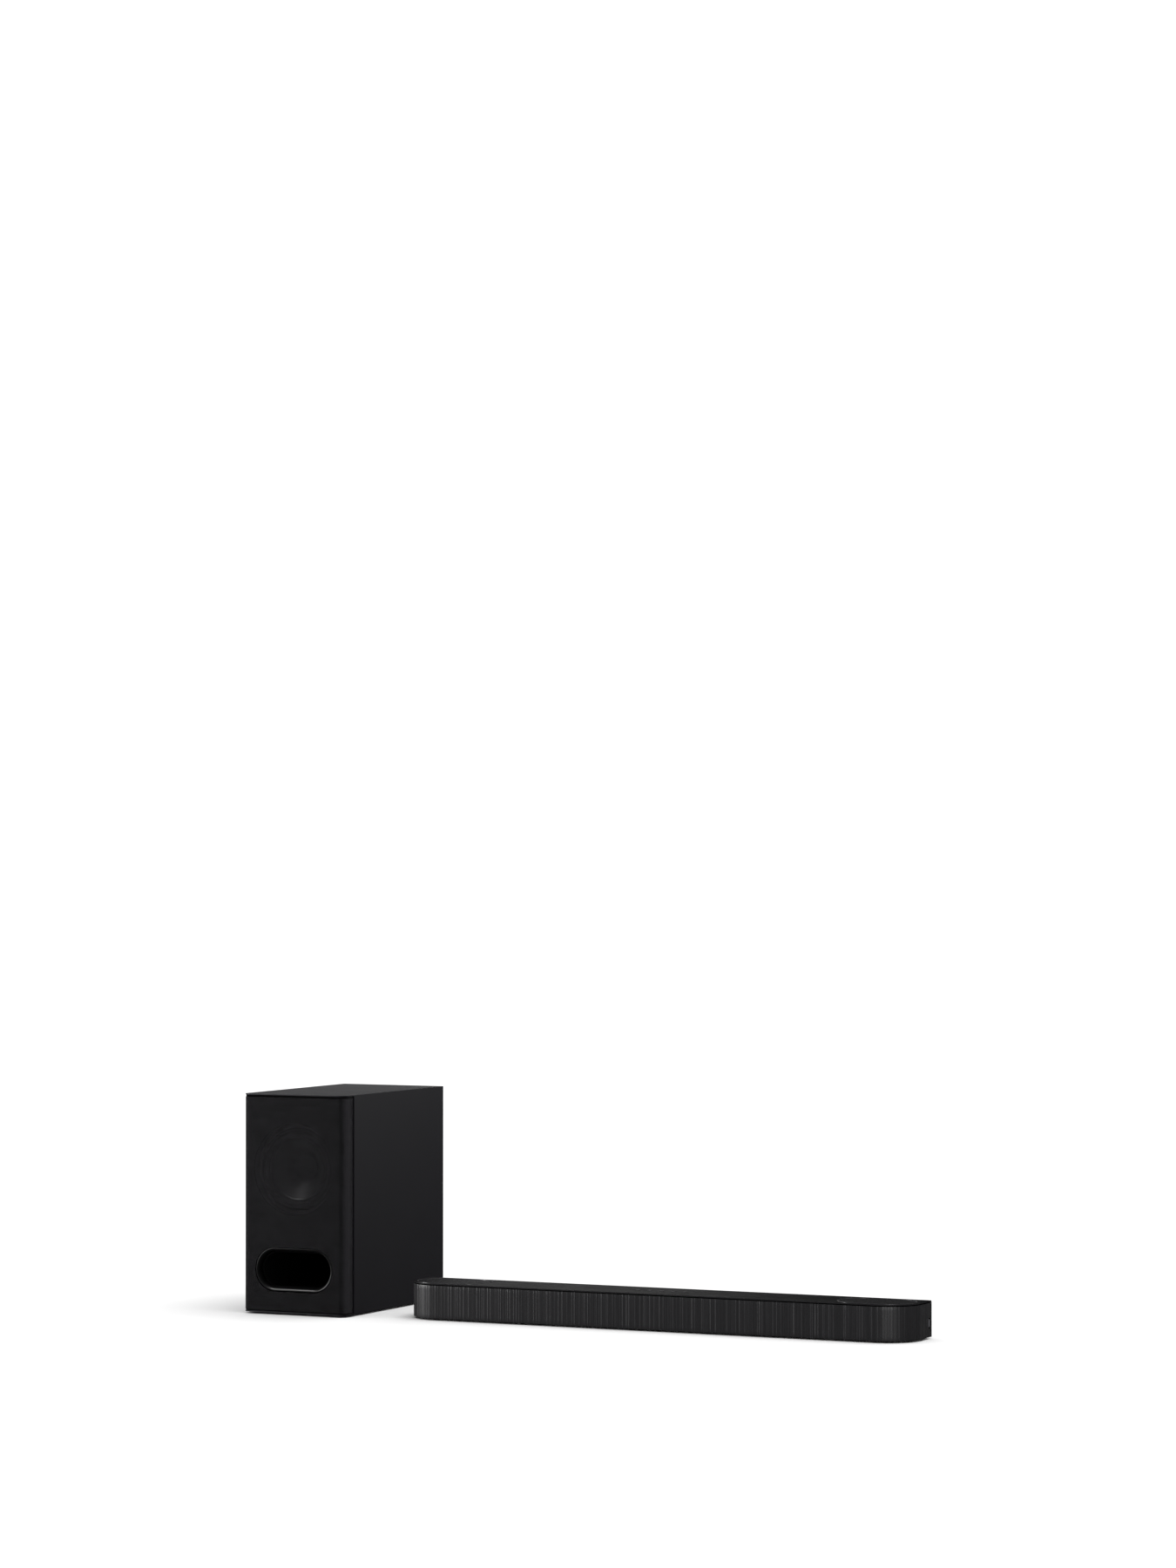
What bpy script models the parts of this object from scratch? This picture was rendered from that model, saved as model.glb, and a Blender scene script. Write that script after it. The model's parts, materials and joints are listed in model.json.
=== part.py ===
"""Soundbar system: a long bar speaker and its wireless subwoofer.

Run with: blender --background --python part.py
Units are metres in the scene; the numbers below are millimetres and are scaled by MM.
+Z is up, +X runs along the bar, -Y is the side that faces the listener.
The origin is on the floor, at the middle of the footprint of the two units.
"""

import math

import bmesh
import bpy
from mathutils import Matrix, Vector

MM = 0.001
GAP = 0.3  # clearance kept between pieces that touch

# ---- driving dimensions, in mm -------------------------------------------------
BAR_W, BAR_D, BAR_H = 950.0, 110.0, 64.0
BAR_R = 62.0  # plan radius of the two front corners
BAR_RB = 5.0  # plan radius of the two back corners
FOOT_H = 3.0
SUB_W, SUB_D, SUB_H = 207.0, 370.0, 387.6
SUB_R = 14.5  # plan radius of the front corners of the subwoofer
SET_L = 1250.0  # left side of the subwoofer to right end of the bar
SETBACK = 33.4  # the bar stands this far behind the subwoofer's front

BAR = Vector((SET_L / 2 - BAR_W / 2, -SUB_D / 2 + SETBACK, 0.0))  # middle of the bar's front edge
SUB = Vector((-SET_L / 2 + SUB_W / 2, -SUB_D / 2, 0.0))  # middle of the subwoofer's front edge

BODY_Z0 = FOOT_H + GAP  # underside of both units
FABRIC_TOP = 60.6
TOP_Z0, TOP_Z1 = 62.2, 64.0  # the bar's top plate
OVAL_R, OVAL_S = 48.0, 43.0  # stadium openings for the height speakers: end radius, straight part
OVAL_X = BAR_W / 2 - 77.5
DRIVER_X = 330.0  # left and right front drivers
DRIVER_Z = 32.0
DRIVER_S = 60.0  # straight part of the racetrack drivers
BUTTON_X = (-44.0, -22.0, 0.0, 22.0, 44.0)
WOOFER_Z = 256.0
PORT_Z, PORT_W, PORT_H = 79.6, 154.0, 77.0
HEIGHT_TILT = math.radians(15.0)

for old in list(bpy.data.objects):
    bpy.data.objects.remove(old, do_unlink=True)

scene = bpy.context.scene
scene.unit_settings.system = "METRIC"
scene.unit_settings.scale_length = 1.0
parts = bpy.data.collections.new("soundbar_system")
helpers = bpy.data.collections.new("cutters")
scene.collection.children.link(parts)
scene.collection.children.link(helpers)
root = bpy.data.objects.new("soundbar_system", None)
parts.objects.link(root)


# ---- materials -----------------------------------------------------------------
def material(name, rgb, roughness, metallic=0.0):
    m = bpy.data.materials.new(name)
    m.use_nodes = True
    shader = m.node_tree.nodes["Principled BSDF"]
    shader.inputs["Base Color"].default_value = (*rgb, 1.0)
    shader.inputs["Roughness"].default_value = roughness
    shader.inputs["Metallic"].default_value = metallic
    m.diffuse_color = (*rgb, 1.0)
    return m


SATIN = material("satin_black_plastic", (0.030, 0.030, 0.032), 0.45)
CABINET = material("cabinet_black", (0.026, 0.026, 0.028), 0.5)
KNIT = material("bar_knit", (0.035, 0.035, 0.037), 0.9)
WEAVE = material("sub_weave", (0.020, 0.020, 0.020), 0.9)
DARK = material("black_plastic", (0.012, 0.012, 0.012), 0.6)
RUBBER = material("rubber", (0.015, 0.015, 0.015), 0.85)
PAPER = material("cone_paper", (0.030, 0.030, 0.032), 0.7)
STEEL = material("stamped_steel", (0.35, 0.35, 0.36), 0.4, 1.0)
FERRITE = material("ferrite", (0.06, 0.06, 0.065), 0.55, 0.4)
COPPER = material("copper", (0.75, 0.36, 0.20), 0.35, 1.0)
BOARD = material("circuit_board", (0.02, 0.10, 0.04), 0.5)
ALUMINIUM = material("aluminium", (0.60, 0.60, 0.62), 0.4, 1.0)
CLOTH = material("spider_cloth", (0.45, 0.30, 0.12), 0.9)
FIBRE = material("baffle_board", (0.045, 0.040, 0.035), 0.8)


# ---- modelling helpers ---------------------------------------------------------
def place(mesh, name, at, mat=None, helper=False):
    """An object with this mesh, its origin at the point `at` (mm)."""
    obj = bpy.data.objects.new(name, mesh)
    (helpers if helper else parts).objects.link(obj)
    obj.location = Vector(at) * MM
    if helper:
        obj.hide_render = True
        obj.display_type = "WIRE"
    else:
        obj.parent = root
        mesh.materials.append(mat)
    return obj


def outline(loops, thickness, at, facing="Z", name="cutter", mat=None, helper=False):
    """Closed flat outlines in mm (inner loops are holes), extruded by thickness about `at`.
    facing Z: loops are (x, y). facing Y: loops are (x, z). facing X: loops are (y, z)."""
    curve = bpy.data.curves.new(name, "CURVE")
    curve.dimensions = "2D"
    curve.fill_mode = "BOTH"
    curve.extrude = thickness / 2 * MM
    for loop in loops:
        spline = curve.splines.new("POLY")
        spline.points.add(len(loop) - 1)
        for point, (u, v) in zip(spline.points, loop):
            point.co = (u * MM, v * MM, 0.0, 1.0)
        spline.use_cyclic_u = True
    guide = bpy.data.objects.new(name + "_outline", curve)
    scene.collection.objects.link(guide)
    bpy.context.view_layer.update()
    graph = bpy.context.evaluated_depsgraph_get()
    mesh = bpy.data.meshes.new_from_object(guide.evaluated_get(graph))
    bpy.data.objects.remove(guide, do_unlink=True)
    bm = bmesh.new()
    bm.from_mesh(mesh)
    bmesh.ops.remove_doubles(bm, verts=bm.verts, dist=1e-6)
    if facing == "Y":
        bm.transform(Matrix.Rotation(math.pi / 2, 4, "X"))
    elif facing == "X":
        bm.transform(Matrix(((0, 0, 1, 0), (1, 0, 0, 0), (0, 1, 0, 0), (0, 0, 0, 1))))
    bmesh.ops.recalc_face_normals(bm, faces=bm.faces)
    bm.to_mesh(mesh)
    bm.free()
    mesh.materials.clear()
    mesh.name = name
    return place(mesh, name, at, mat, helper)


def slab(loops, z0, z1, unit, name="cutter", mat=None, helper=False):
    return outline(loops, z1 - z0, unit + Vector((0, 0, (z0 + z1) / 2)), "Z", name, mat, helper)


def wall(loops, y0, y1, unit, name="cutter", mat=None, helper=False):
    return outline(loops, y1 - y0, unit + Vector((0, (y0 + y1) / 2, 0)), "Y", name, mat, helper)


def boxes(list_of_boxes, unit, name="cutter", mat=None, helper=False, at=None):
    """One mesh of one or more cuboids, each (x0, x1, y0, y1, z0, z1) in mm in the unit's frame."""
    if at is None:
        b = list_of_boxes[0]
        at = Vector(((b[0] + b[1]) / 2, (b[2] + b[3]) / 2, (b[4] + b[5]) / 2))
    at = Vector(at)
    bm = bmesh.new()
    for x0, x1, y0, y1, z0, z1 in list_of_boxes:
        centre = Vector(((x0 + x1) / 2, (y0 + y1) / 2, (z0 + z1) / 2)) - at
        size = Matrix.Diagonal(((x1 - x0) * MM, (y1 - y0) * MM, (z1 - z0) * MM, 1.0))
        bmesh.ops.create_cube(bm, size=1.0, matrix=Matrix.Translation(centre * MM) @ size)
    mesh = bpy.data.meshes.new(name)
    bm.to_mesh(mesh)
    bm.free()
    return place(mesh, name, unit + at, mat, helper)


AXES = {
    "Z": Matrix.Identity(4),
    "Y": Matrix.Rotation(math.pi / 2, 4, "X"),  # the cylinder's +Z end points to -Y
    "X": Matrix.Rotation(math.pi / 2, 4, "Y"),
}


def rods(list_of_rods, unit, axis="Z", segments=16, name="cutter", mat=None, helper=False, at=None):
    """One mesh of one or more cylinders, each (radius, length, (x, y, z) of its middle)."""
    at = Vector(list_of_rods[0][2]) if at is None else Vector(at)
    bm = bmesh.new()
    for radius, length, middle in list_of_rods:
        bmesh.ops.create_cone(
            bm,
            cap_ends=True,
            segments=segments,
            radius1=radius * MM,
            radius2=radius * MM,
            depth=length * MM,
            matrix=Matrix.Translation((Vector(middle) - at) * MM) @ AXES[axis],
        )
    mesh = bpy.data.meshes.new(name)
    bm.to_mesh(mesh)
    bm.free()
    return place(mesh, name, unit + at, mat, helper)


def dish(rings, straight, segments, thickness, at, name, mat, closed=True, offset=0.0, turn=None):
    """An open surface through concentric stadium rings (radius, depth) with Solidify.
    Depth runs along local +Y, away from the listener. straight 0 makes round rings.
    turn is an extra rotation about the origin, for a driver that doesn't face forward."""
    bm = bmesh.new()
    loops = []
    for radius, depth in rings:
        loop = []
        for i in range(segments):
            a = 2 * math.pi * (i + 0.5) / segments
            x = radius * math.cos(a) + math.copysign(straight / 2, math.cos(a))
            loop.append(bm.verts.new((x * MM, depth * MM, radius * math.sin(a) * MM)))
        loops.append(loop)
    for a, b in zip(loops, loops[1:]):
        for i in range(segments):
            j = (i + 1) % segments
            bm.faces.new((a[i], a[j], b[j], b[i]))
    if closed:
        bm.faces.new(loops[-1])
    if turn is not None:
        bm.transform(turn)
    bmesh.ops.recalc_face_normals(bm, faces=bm.faces)
    mesh = bpy.data.meshes.new(name)
    bm.to_mesh(mesh)
    bm.free()
    obj = place(mesh, name, at, mat)
    shell = obj.modifiers.new("Solidify", "SOLIDIFY")
    shell.thickness = thickness * MM
    shell.offset = offset
    shell.use_even_offset = True
    return obj


def turned(profile, at, name, mat, steps=32, axis="Z", helper=False, turn=None):
    """A turned solid: profile points (radius, height) run from the top of the axis down to its foot."""
    mesh = bpy.data.meshes.new(name)
    edges = [(i, i + 1) for i in range(len(profile) - 1)]
    if profile[0][0] > 0:
        edges.append((len(profile) - 1, 0))  # a ring's profile is a closed loop
    mesh.from_pydata([(r * MM, 0.0, h * MM) for r, h in profile], edges, [])
    obj = place(mesh, name, at, mat, helper)
    screw = obj.modifiers.new("Screw", "SCREW")
    screw.axis = "Z"
    screw.steps = steps
    screw.render_steps = steps
    screw.use_merge_vertices = True
    screw.merge_threshold = 0.00001
    if axis == "Y":
        obj.rotation_euler = (math.pi / 2, 0.0, 0.0)  # the top of the profile faces -Y
    elif axis == "-Y":
        obj.rotation_euler = (-math.pi / 2, 0.0, 0.0)  # the top of the profile faces +Y
    if turn is not None:
        obj.rotation_euler = turn
    return obj


def cut(obj, *cutters):
    for cutter in cutters:
        m = obj.modifiers.new("cut", "BOOLEAN")
        m.operation = "DIFFERENCE"
        m.solver = "EXACT"
        m.object = cutter


def join(obj, *others):
    for other in others:
        m = obj.modifiers.new("join", "BOOLEAN")
        m.operation = "UNION"
        m.solver = "EXACT"
        m.object = other


def bevel(obj, width, segments=2, angle=40.0):
    m = obj.modifiers.new("Bevel", "BEVEL")
    m.width = width * MM
    m.segments = segments
    m.limit_method = "ANGLE"
    m.angle_limit = math.radians(angle)


# ---- outlines, in mm -----------------------------------------------------------
def arc(cx, cy, r, a0, a1, n):
    return [
        (cx + r * math.cos(math.radians(a0 + (a1 - a0) * i / n)), cy + r * math.sin(math.radians(a0 + (a1 - a0) * i / n)))
        for i in range(n + 1)
    ]


def plan(half_w, y0, y1, rf, rb, n=10):
    """Rectangle seen from above with rounded front (y0) and back (y1) corners."""
    points = arc(half_w - rf, y0 + rf, rf, -90, 0, n)
    points += arc(half_w - rb, y1 - rb, rb, 0, 90, 3) if rb > 0.5 else [(half_w, y1)]
    points += [(-x, y) for x, y in reversed(points)]
    return points


def wrap(half_w, r, inset0, inset1, y_end, n=10):
    """A strip that runs round the front and both ends, between two insets, open at the back."""

    def half(inset):
        return [(half_w - inset, y_end)] + arc(half_w - r, r, r - inset, 0, -90, n)

    outer, inner = half(inset0), half(inset1)
    outer_all = outer + [(-x, y) for x, y in reversed(outer)]
    inner_all = inner + [(-x, y) for x, y in reversed(inner)]
    return outer_all + list(reversed(inner_all))


def stadium(cx, cy, r, straight, n=8):
    """A stadium with its long side along the first axis."""
    right = arc(cx + straight / 2, cy, r, -90, 90, n)
    left = arc(cx - straight / 2, cy, r, 90, 270, n)
    return right + left


def upright_stadium(cx, cy, r, straight, n=6):
    return [(cx + (y - cy), cy + (x - cx)) for x, y in reversed(stadium(cx, cy, r, straight, n))]


def rect(x0, x1, y0, y1):
    return [(x0, y0), (x1, y0), (x1, y1), (x0, y1)]


# ================================================================================
# The bar
# ================================================================================
HALF = BAR_W / 2

# bottom tray: floor, low wall, bosses for the boards and the height speakers
tray = slab([plan(HALF - 3.6, 3.6, 105.0, BAR_R - 3.6, 2.0)], BODY_Z0, 9.6, BAR, "bar_base_tray", SATIN)
cut(tray, slab([plan(HALF - 5.8, 5.8, 102.8, BAR_R - 5.8, 1.0)], 5.8, 25.0, BAR, "tray_hollow", helper=True))
posts = [(3.0, 9.1, (x, y, 8.55)) for x in (-112, 52) for y in (36, 78)]
posts += [(3.0, 9.1, (x, y, 8.55)) for x in (188, 322) for y in (60, 92)]
posts += [(11.0, 18.4, (s * OVAL_X, 62.0, 13.4)) for s in (-1, 1)]
join(tray, rods(posts, BAR, "Z", 10, "tray_bosses", helper=True))

# grille carrier: a moulded wall round the front and ends, with windows before the drivers
frame = slab([wrap(HALF, BAR_R, 1.2, 3.3, 104.7)], BODY_Z0, 60.4, BAR, "bar_front_frame", SATIN)
windows = []
for cx in (-DRIVER_X, 0.0, DRIVER_X):
    for k in range(4):
        x0 = cx - 56 + k * 28.5
        windows.append((x0, x0 + 26.5, -2.0, 6.0, 11.0, 53.0))
cut(frame, boxes(windows, BAR, "frame_windows", helper=True))

# knitted sleeve over the carrier
fabric = slab([wrap(HALF, BAR_R, 0.0, 0.9, 104.7)], BODY_Z0, FABRIC_TOP, BAR, "bar_grille_fabric", KNIT)

# oblong cap near the back of the right end, in its own hole
CAP_Y, CAP_Z, CAP_R, CAP_S = 97.0, 26.8, 4.2, 8.0
hole = outline([upright_stadium(CAP_Y, CAP_Z, CAP_R + 0.9, CAP_S)], 12.0, BAR + Vector((HALF - 3, 0, 0)), "X", "cap_hole", helper=True)
cut(frame, hole)
cut(fabric, hole)
cap = outline([upright_stadium(CAP_Y, CAP_Z, CAP_R, CAP_S)], 2.4, BAR + Vector((HALF - 1.8, 0, 0)), "X", "end_port_cap", RUBBER)

# top plate with two stadium openings, five button holes, a locating rib and two posts
top = slab([plan(HALF - 0.3, 0.3, 109.7, BAR_R - 0.3, BAR_RB, 14)], TOP_Z0, TOP_Z1, BAR, "bar_top_panel", SATIN)
rib = slab(
    [plan(HALF - 4.0, 4.0, 105.2, BAR_R - 4.0, 2.0), plan(HALF - 5.4, 5.4, 103.8, BAR_R - 5.4, 1.0)],
    59.0, TOP_Z0 + 0.4, BAR, "top_rib", helper=True,
)
cut(
    top,
    slab([stadium(s * OVAL_X, 55.0, OVAL_R, OVAL_S, 10) for s in (-1, 1)], TOP_Z0 - 3, TOP_Z1 + 4, BAR, "oval_openings", helper=True),
    rods([(5.3, 12.0, (x, 55.0, 63.0)) for x in BUTTON_X], BAR, "Z", 14, "button_holes", helper=True),
)
join(top, rib)
join(top, rods([(2.5, 6.2, (x, 55.0, 59.6)) for x in (-57.0, 57.0)], BAR, "Z", 8, "top_posts", helper=True))

for side, s in (("left", -1), ("right", 1)):
    slab([stadium(s * OVAL_X, 55.0, OVAL_R - 0.8, OVAL_S, 10)], 62.8, 63.7, BAR, f"top_grille_{side}", DARK)

# rear cover: back wall with end returns, a socket pocket, a mains pocket and two keyholes
BACK_Y = BAR_D
cover_plan = [(HALF, 105.3)] + arc(HALF - BAR_RB, BACK_Y - BAR_RB + 0.0, BAR_RB, 4, 90, 3)
cover_plan = cover_plan + [(-x, y) for x, y in reversed(cover_plan)]
cover = slab([cover_plan], BODY_Z0, 61.9, BAR, "bar_rear_cover", SATIN)
cut(cover, boxes([(-HALF + 4, HALF - 4, 100.0, 107.3, 0.0, 70.0)], BAR, "cover_hollow", helper=True))
IO = (-112.0, 52.0, 86.0, 108.6, 10.0, 50.0)
AC = (228.0, 292.0, 86.0, 108.6, 10.0, 46.0)
join(cover, boxes([IO, AC], BAR, "pocket_walls", helper=True))
cut(cover, boxes([(IO[0] + 2, IO[1] - 2, 88.0, 115.0, IO[4] + 2, IO[5] - 2), (AC[0] + 2, AC[1] - 2, 88.0, 115.0, AC[4] + 2, AC[5] - 2)], BAR, "pockets", helper=True))
HDMI = (-60.0, 22.0)
OPTICAL = (-20.0, 24.0)
cut(
    cover,
    boxes(
        [
            (HDMI[0] - 8.3, HDMI[0] + 8.3, 80.0, 92.0, HDMI[1] - 3.8, HDMI[1] + 3.8),
            (OPTICAL[0] - 6.8, OPTICAL[0] + 6.8, 80.0, 92.0, OPTICAL[1] - 6.3, OPTICAL[1] + 6.3),
            (260.0 - 12.8, 260.0 + 12.8, 80.0, 92.0, 19.2, 36.8),
        ],
        BAR, "socket_holes", helper=True,
    ),
)
KEYHOLE_X, KEYHOLE_Z = 200.0, 30.0
keyholes = rods([(5.0, 10.0, (s * KEYHOLE_X - 20.0, 108.0, KEYHOLE_Z)) for s in (-1, 1)], BAR, "Y", 14, "keyhole_heads", helper=True)
slots = boxes([(s * KEYHOLE_X - 20.0 - 2.4, s * KEYHOLE_X - 20.0 + 2.4, 103.0, 113.0, KEYHOLE_Z, KEYHOLE_Z + 12.0) for s in (-1, 1)], BAR, "keyhole_slots", helper=True)
cut(cover, keyholes, slots)

# front baffle that carries the three racetrack drivers
wall(
    [rect(-428, 428, 6.4, 58.4)] + [stadium(x, DRIVER_Z, 22.0, DRIVER_S, 8) for x in (-DRIVER_X, 0.0, DRIVER_X)],
    14.4, 17.4, BAR, "front_baffle", SATIN,
)

for side, x in (("left", -DRIVER_X), ("centre", 0.0), ("right", DRIVER_X)):
    at = BAR + Vector((x, 12.0, DRIVER_Z))
    basket = dish(
        [(25.0, 1.2), (20.6, 1.2), (19.6, 6.0), (15.0, 22.0)], DRIVER_S, 16, 1.4, at, f"{side}_driver_basket", STEEL, True
    )
    join(basket, rods([(15.0, 14.0, (x, 12.0 + 28.6, DRIVER_Z))], BAR, "Y", 16, f"{side}_driver_magnet", helper=True))
    dish(
        [(18.3, 0.6), (17.0, -0.9), (15.6, 0.6), (6.0, 9.0)], DRIVER_S, 16, 0.8, at, f"{side}_driver_cone", PAPER, True
    )

for side, s in (("left", -1), ("right", 1)):
    at = BAR + Vector((s * OVAL_X, 55.0, 51.0))
    turn = Matrix.Rotation(-math.pi / 2 + HEIGHT_TILT, 4, "X")  # local +Y, into the speaker, points down and back
    basket = dish([(27.0, 1.0), (21.4, 1.0), (20.0, 5.0), (13.0, 15.0)], 0.0, 18, 1.4, at, f"{side}_height_basket", STEEL, True, turn=turn)
    down = turn.to_3x3() @ Vector((0, 1, 0))
    magnet = rods([(13.0, 11.0, tuple(Vector((s * OVAL_X, 55.0, 51.0)) + down * 19.9))], BAR, "Z", 18, f"{side}_height_magnet", helper=True)
    magnet.rotation_euler = (HEIGHT_TILT, 0.0, 0.0)
    join(basket, magnet)
    dish([(19.0, 0.6), (17.6, -0.9), (16.2, 0.6), (6.0, 8.0)], 0.0, 18, 0.8, at, f"{side}_height_cone", PAPER, True, turn=turn)

# electronics of the bar
board = boxes([(-118.0, 58.0, 30.0, 84.0, 13.4, 15.0)], BAR, "main_board", BOARD)
join(
    board,
    boxes(
        [
            (-104.0, -76.0, 56.0, 78.0, 14.6, 18.0),
            (-60.0, -36.0, 52.0, 72.0, 14.6, 17.0),
            (-8.0, 12.0, 58.0, 76.0, 14.6, 17.4),
            (30.0, 44.0, 40.0, 52.0, 14.6, 20.0),
            (-114.0, -104.0, 38.0, 50.0, 14.6, 21.0),
        ],
        BAR, "main_board_chips", helper=True,
    ),
)
power = boxes([(182.0, 328.0, 54.0, 98.0, 13.4, 15.0)], BAR, "power_board", BOARD)
cut(power, boxes([(226.0, 294.0, 84.0, 100.0, 12.0, 17.0)], BAR, "power_board_notch", helper=True))
join(
    power,
    boxes([(204.0, 232.0, 58.0, 80.0, 14.6, 36.0), (240.0, 256.0, 56.0, 66.0, 14.6, 24.0)], BAR, "transformer", helper=True),
    rods([(7.0, 22.0, (306.0, 76.0, 25.6)), (5.0, 18.0, (284.0, 66.0, 23.6))], BAR, "Z", 10, "capacitors", helper=True),
)
sink = boxes([(-106.0, -74.0, 54.0, 80.0, 18.3, 21.3)], BAR, "amplifier_heat_sink", ALUMINIUM)
join(sink, boxes([(-106.0 + k * 6.0, -104.0 + k * 6.0, 54.0, 80.0, 21.0, 40.0) for k in range(6)], BAR, "sink_fins", helper=True))

hdmi = boxes([(HDMI[0] - 8.0, HDMI[0] + 8.0, 75.0, 88.6, HDMI[1] - 3.5, HDMI[1] + 3.5)], BAR, "hdmi_socket", STEEL)
cut(hdmi, boxes([(HDMI[0] - 7.0, HDMI[0] + 7.0, 78.0, 95.0, HDMI[1] - 2.4, HDMI[1] + 2.4)], BAR, "hdmi_mouth", helper=True))
join(hdmi, boxes([(HDMI[0] - 5.5, HDMI[0] + 5.5, 76.0, 87.0, HDMI[1] - 0.2, HDMI[1] + 0.8)], BAR, "hdmi_tongue", helper=True))
optical = boxes([(OPTICAL[0] - 6.5, OPTICAL[0] + 6.5, 77.0, 88.6, OPTICAL[1] - 6.0, OPTICAL[1] + 6.0)], BAR, "optical_socket", DARK)
cut(optical, boxes([(OPTICAL[0] - 4.2, OPTICAL[0] + 4.2, 80.0, 95.0, OPTICAL[1] - 4.2, OPTICAL[1] + 4.2)], BAR, "optical_mouth", helper=True))


def mains_inlet(unit, x, z, y_in, y_out, name):
    """A two-pin figure-eight inlet: body, oval well and two pins, mouth towards +Y."""
    inlet = boxes([(x - 12.5, x + 12.5, y_in, y_out, z - 8.5, z + 8.5)], unit, name, DARK)
    well = wall([stadium(x, z, 4.6, 8.2, 8)], y_in + 3.0, y_out + 6.0, unit, name + "_well", helper=True)
    cut(inlet, well)
    join(inlet, rods([(1.2, 8.0, (x + d, y_in + 6.0, z)) for d in (-4.3, 4.3)], unit, "Y", 10, name + "_pins", helper=True))
    return inlet


mains_inlet(BAR, 260.0, 28.0, 68.0, 88.6, "bar_mains_inlet")

# control board and five buttons in the middle of the top
controls = boxes([(-60.0, 60.0, 45.0, 65.0, 54.6, 56.2)], BAR, "button_board", BOARD)
join(controls, boxes([(x - 3.0, x + 3.0, 52.0, 58.0, 55.8, 59.0) for x in BUTTON_X], BAR, "tact_switches", helper=True))
for name, x in zip(("power_button", "input_button", "pairing_button", "volume_down_button", "volume_up_button"), BUTTON_X):
    turned(
        [(0, 64.6), (4.3, 64.6), (4.8, 64.1), (4.8, 61.8), (6.2, 61.8), (6.2, 60.8), (2.0, 60.8), (2.0, 59.9), (0, 59.9)],
        BAR + Vector((x, 55.0, 0)), name, DARK, 14,
    )

# feet
for side, s in (("left", -1), ("right", 1)):
    slab([upright_stadium(s * 380.0, 55.0, 10.0, 62.0, 6)], 0.0, FOOT_H, BAR, f"bar_foot_{side}", RUBBER)

# speaker harness from the left driver to the main board
curve = bpy.data.curves.new("speaker_harness", "CURVE")
curve.dimensions = "3D"
curve.bevel_depth = 1.5 * MM
curve.bevel_resolution = 2
curve.use_fill_caps = True
route = [(-332, 52.5, 24), (-331, 60, 17), (-322, 66, 11), (-300, 66, 8.5), (-250, 64, 8), (-200, 62, 8), (-160, 58, 8), (-138, 52, 9), (-128, 46, 13), (-123, 44, 19), (-117, 44, 23), (-111, 44, 22.9)]


def smooth(points, per_span):
    """Points on the Catmull-Rom curve through the given points."""
    out = []
    for i in range(len(points) - 1):
        p0, p1 = Vector(points[max(i - 1, 0)]), Vector(points[i])
        p2, p3 = Vector(points[i + 1]), Vector(points[min(i + 2, len(points) - 1)])
        for k in range(per_span):
            t = k / per_span
            out.append(0.5 * ((2 * p1) + (p2 - p0) * t + (2 * p0 - 5 * p1 + 4 * p2 - p3) * t * t + (3 * p1 - p0 - 3 * p2 + p3) * t**3))
    out.append(Vector(points[-1]))
    return out


spline = curve.splines.new("POLY")
trace = smooth(route, 2)
spline.points.add(len(trace) - 1)
for point, p in zip(spline.points, trace):
    point.co = (*(p * MM), 1.0)
harness = bpy.data.objects.new("speaker_harness", curve)
parts.objects.link(harness)
harness.location = BAR * MM
harness.parent = root
curve.materials.append(RUBBER)

# ================================================================================
# The subwoofer
# ================================================================================
SHALF = SUB_W / 2
LIP_T0, LIP_T1 = 385.8, SUB_H  # top lip over the grille
LIP_B1 = 5.2  # upper side of the bottom lip
CAB_Y = 32.2  # the cabinet's side walls start here

cabinet = slab([plan(SHALF, 0.0, SUB_D, SUB_R, 3.0, 8)], BODY_Z0, SUB_H, SUB, "sub_cabinet", CABINET)
cut(cabinet, boxes([(-SHALF - 5, SHALF + 5, -5.0, CAB_Y, LIP_B1, LIP_T0)], SUB, "grille_space", helper=True))
cut(cabinet, boxes([(-SHALF + 12, SHALF - 12, CAB_Y - 10, SUB_D - 12, 15.3, 375.0)], SUB, "cabinet_hollow", helper=True))
PLATE = (-62.0, 62.0, 96.0, 296.0)
cut(
    cabinet,
    boxes([(PLATE[0] - 0.4, PLATE[1] + 0.4, SUB_D - 4.4, SUB_D + 5, PLATE[2] - 0.4, PLATE[3] + 0.4)], SUB, "plate_seat", helper=True),
    boxes([(PLATE[0] + 8, PLATE[1] - 8, SUB_D - 30, SUB_D + 6, PLATE[2] + 8, PLATE[3] - 8)], SUB, "plate_opening", helper=True),
)
SCREWS = [(x, z) for x in (PLATE[0] + 4.5, PLATE[1] - 4.5) for z in (PLATE[2] + 4.5, PLATE[3] - 4.5)]
cut(cabinet, rods([(1.7, 18.0, (x, SUB_D - 6.0, z)) for x, z in SCREWS], SUB, "Y", 8, "screw_pilots", helper=True))

# baffle board that carries the woofer and the port
wall(
    [rect(-98.0, 98.0, 10.0, 380.0), arc(0, WOOFER_Z, 72.0, 0, 345, 23), stadium(0, PORT_Z, 32.6, 77.0, 8)],
    20.0, CAB_Y - GAP, SUB, "sub_baffle", FIBRE,
)

# grille carrier: front plate with side returns, round window and port window
carrier = slab([wrap(SHALF, SUB_R, 1.1, 3.1, 27.8, 6)], 5.6, 385.4, SUB, "sub_grille_frame", SATIN)
face = wall([rect(-86.0, 86.0, 5.9, 385.1)], 1.5, 4.0, SUB, "carrier_face", helper=True)
join(carrier, face)
round_window = rods([(81.0, 20.0, (0, 3.0, WOOFER_Z))], SUB, "Y", 32, "round_window", helper=True)
port_window = wall([stadium(0, PORT_Z, PORT_H / 2 + 0.6, PORT_W - PORT_H, 10)], -6.0, 12.0, SUB, "port_window", helper=True)
cut(carrier, round_window, port_window)

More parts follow.
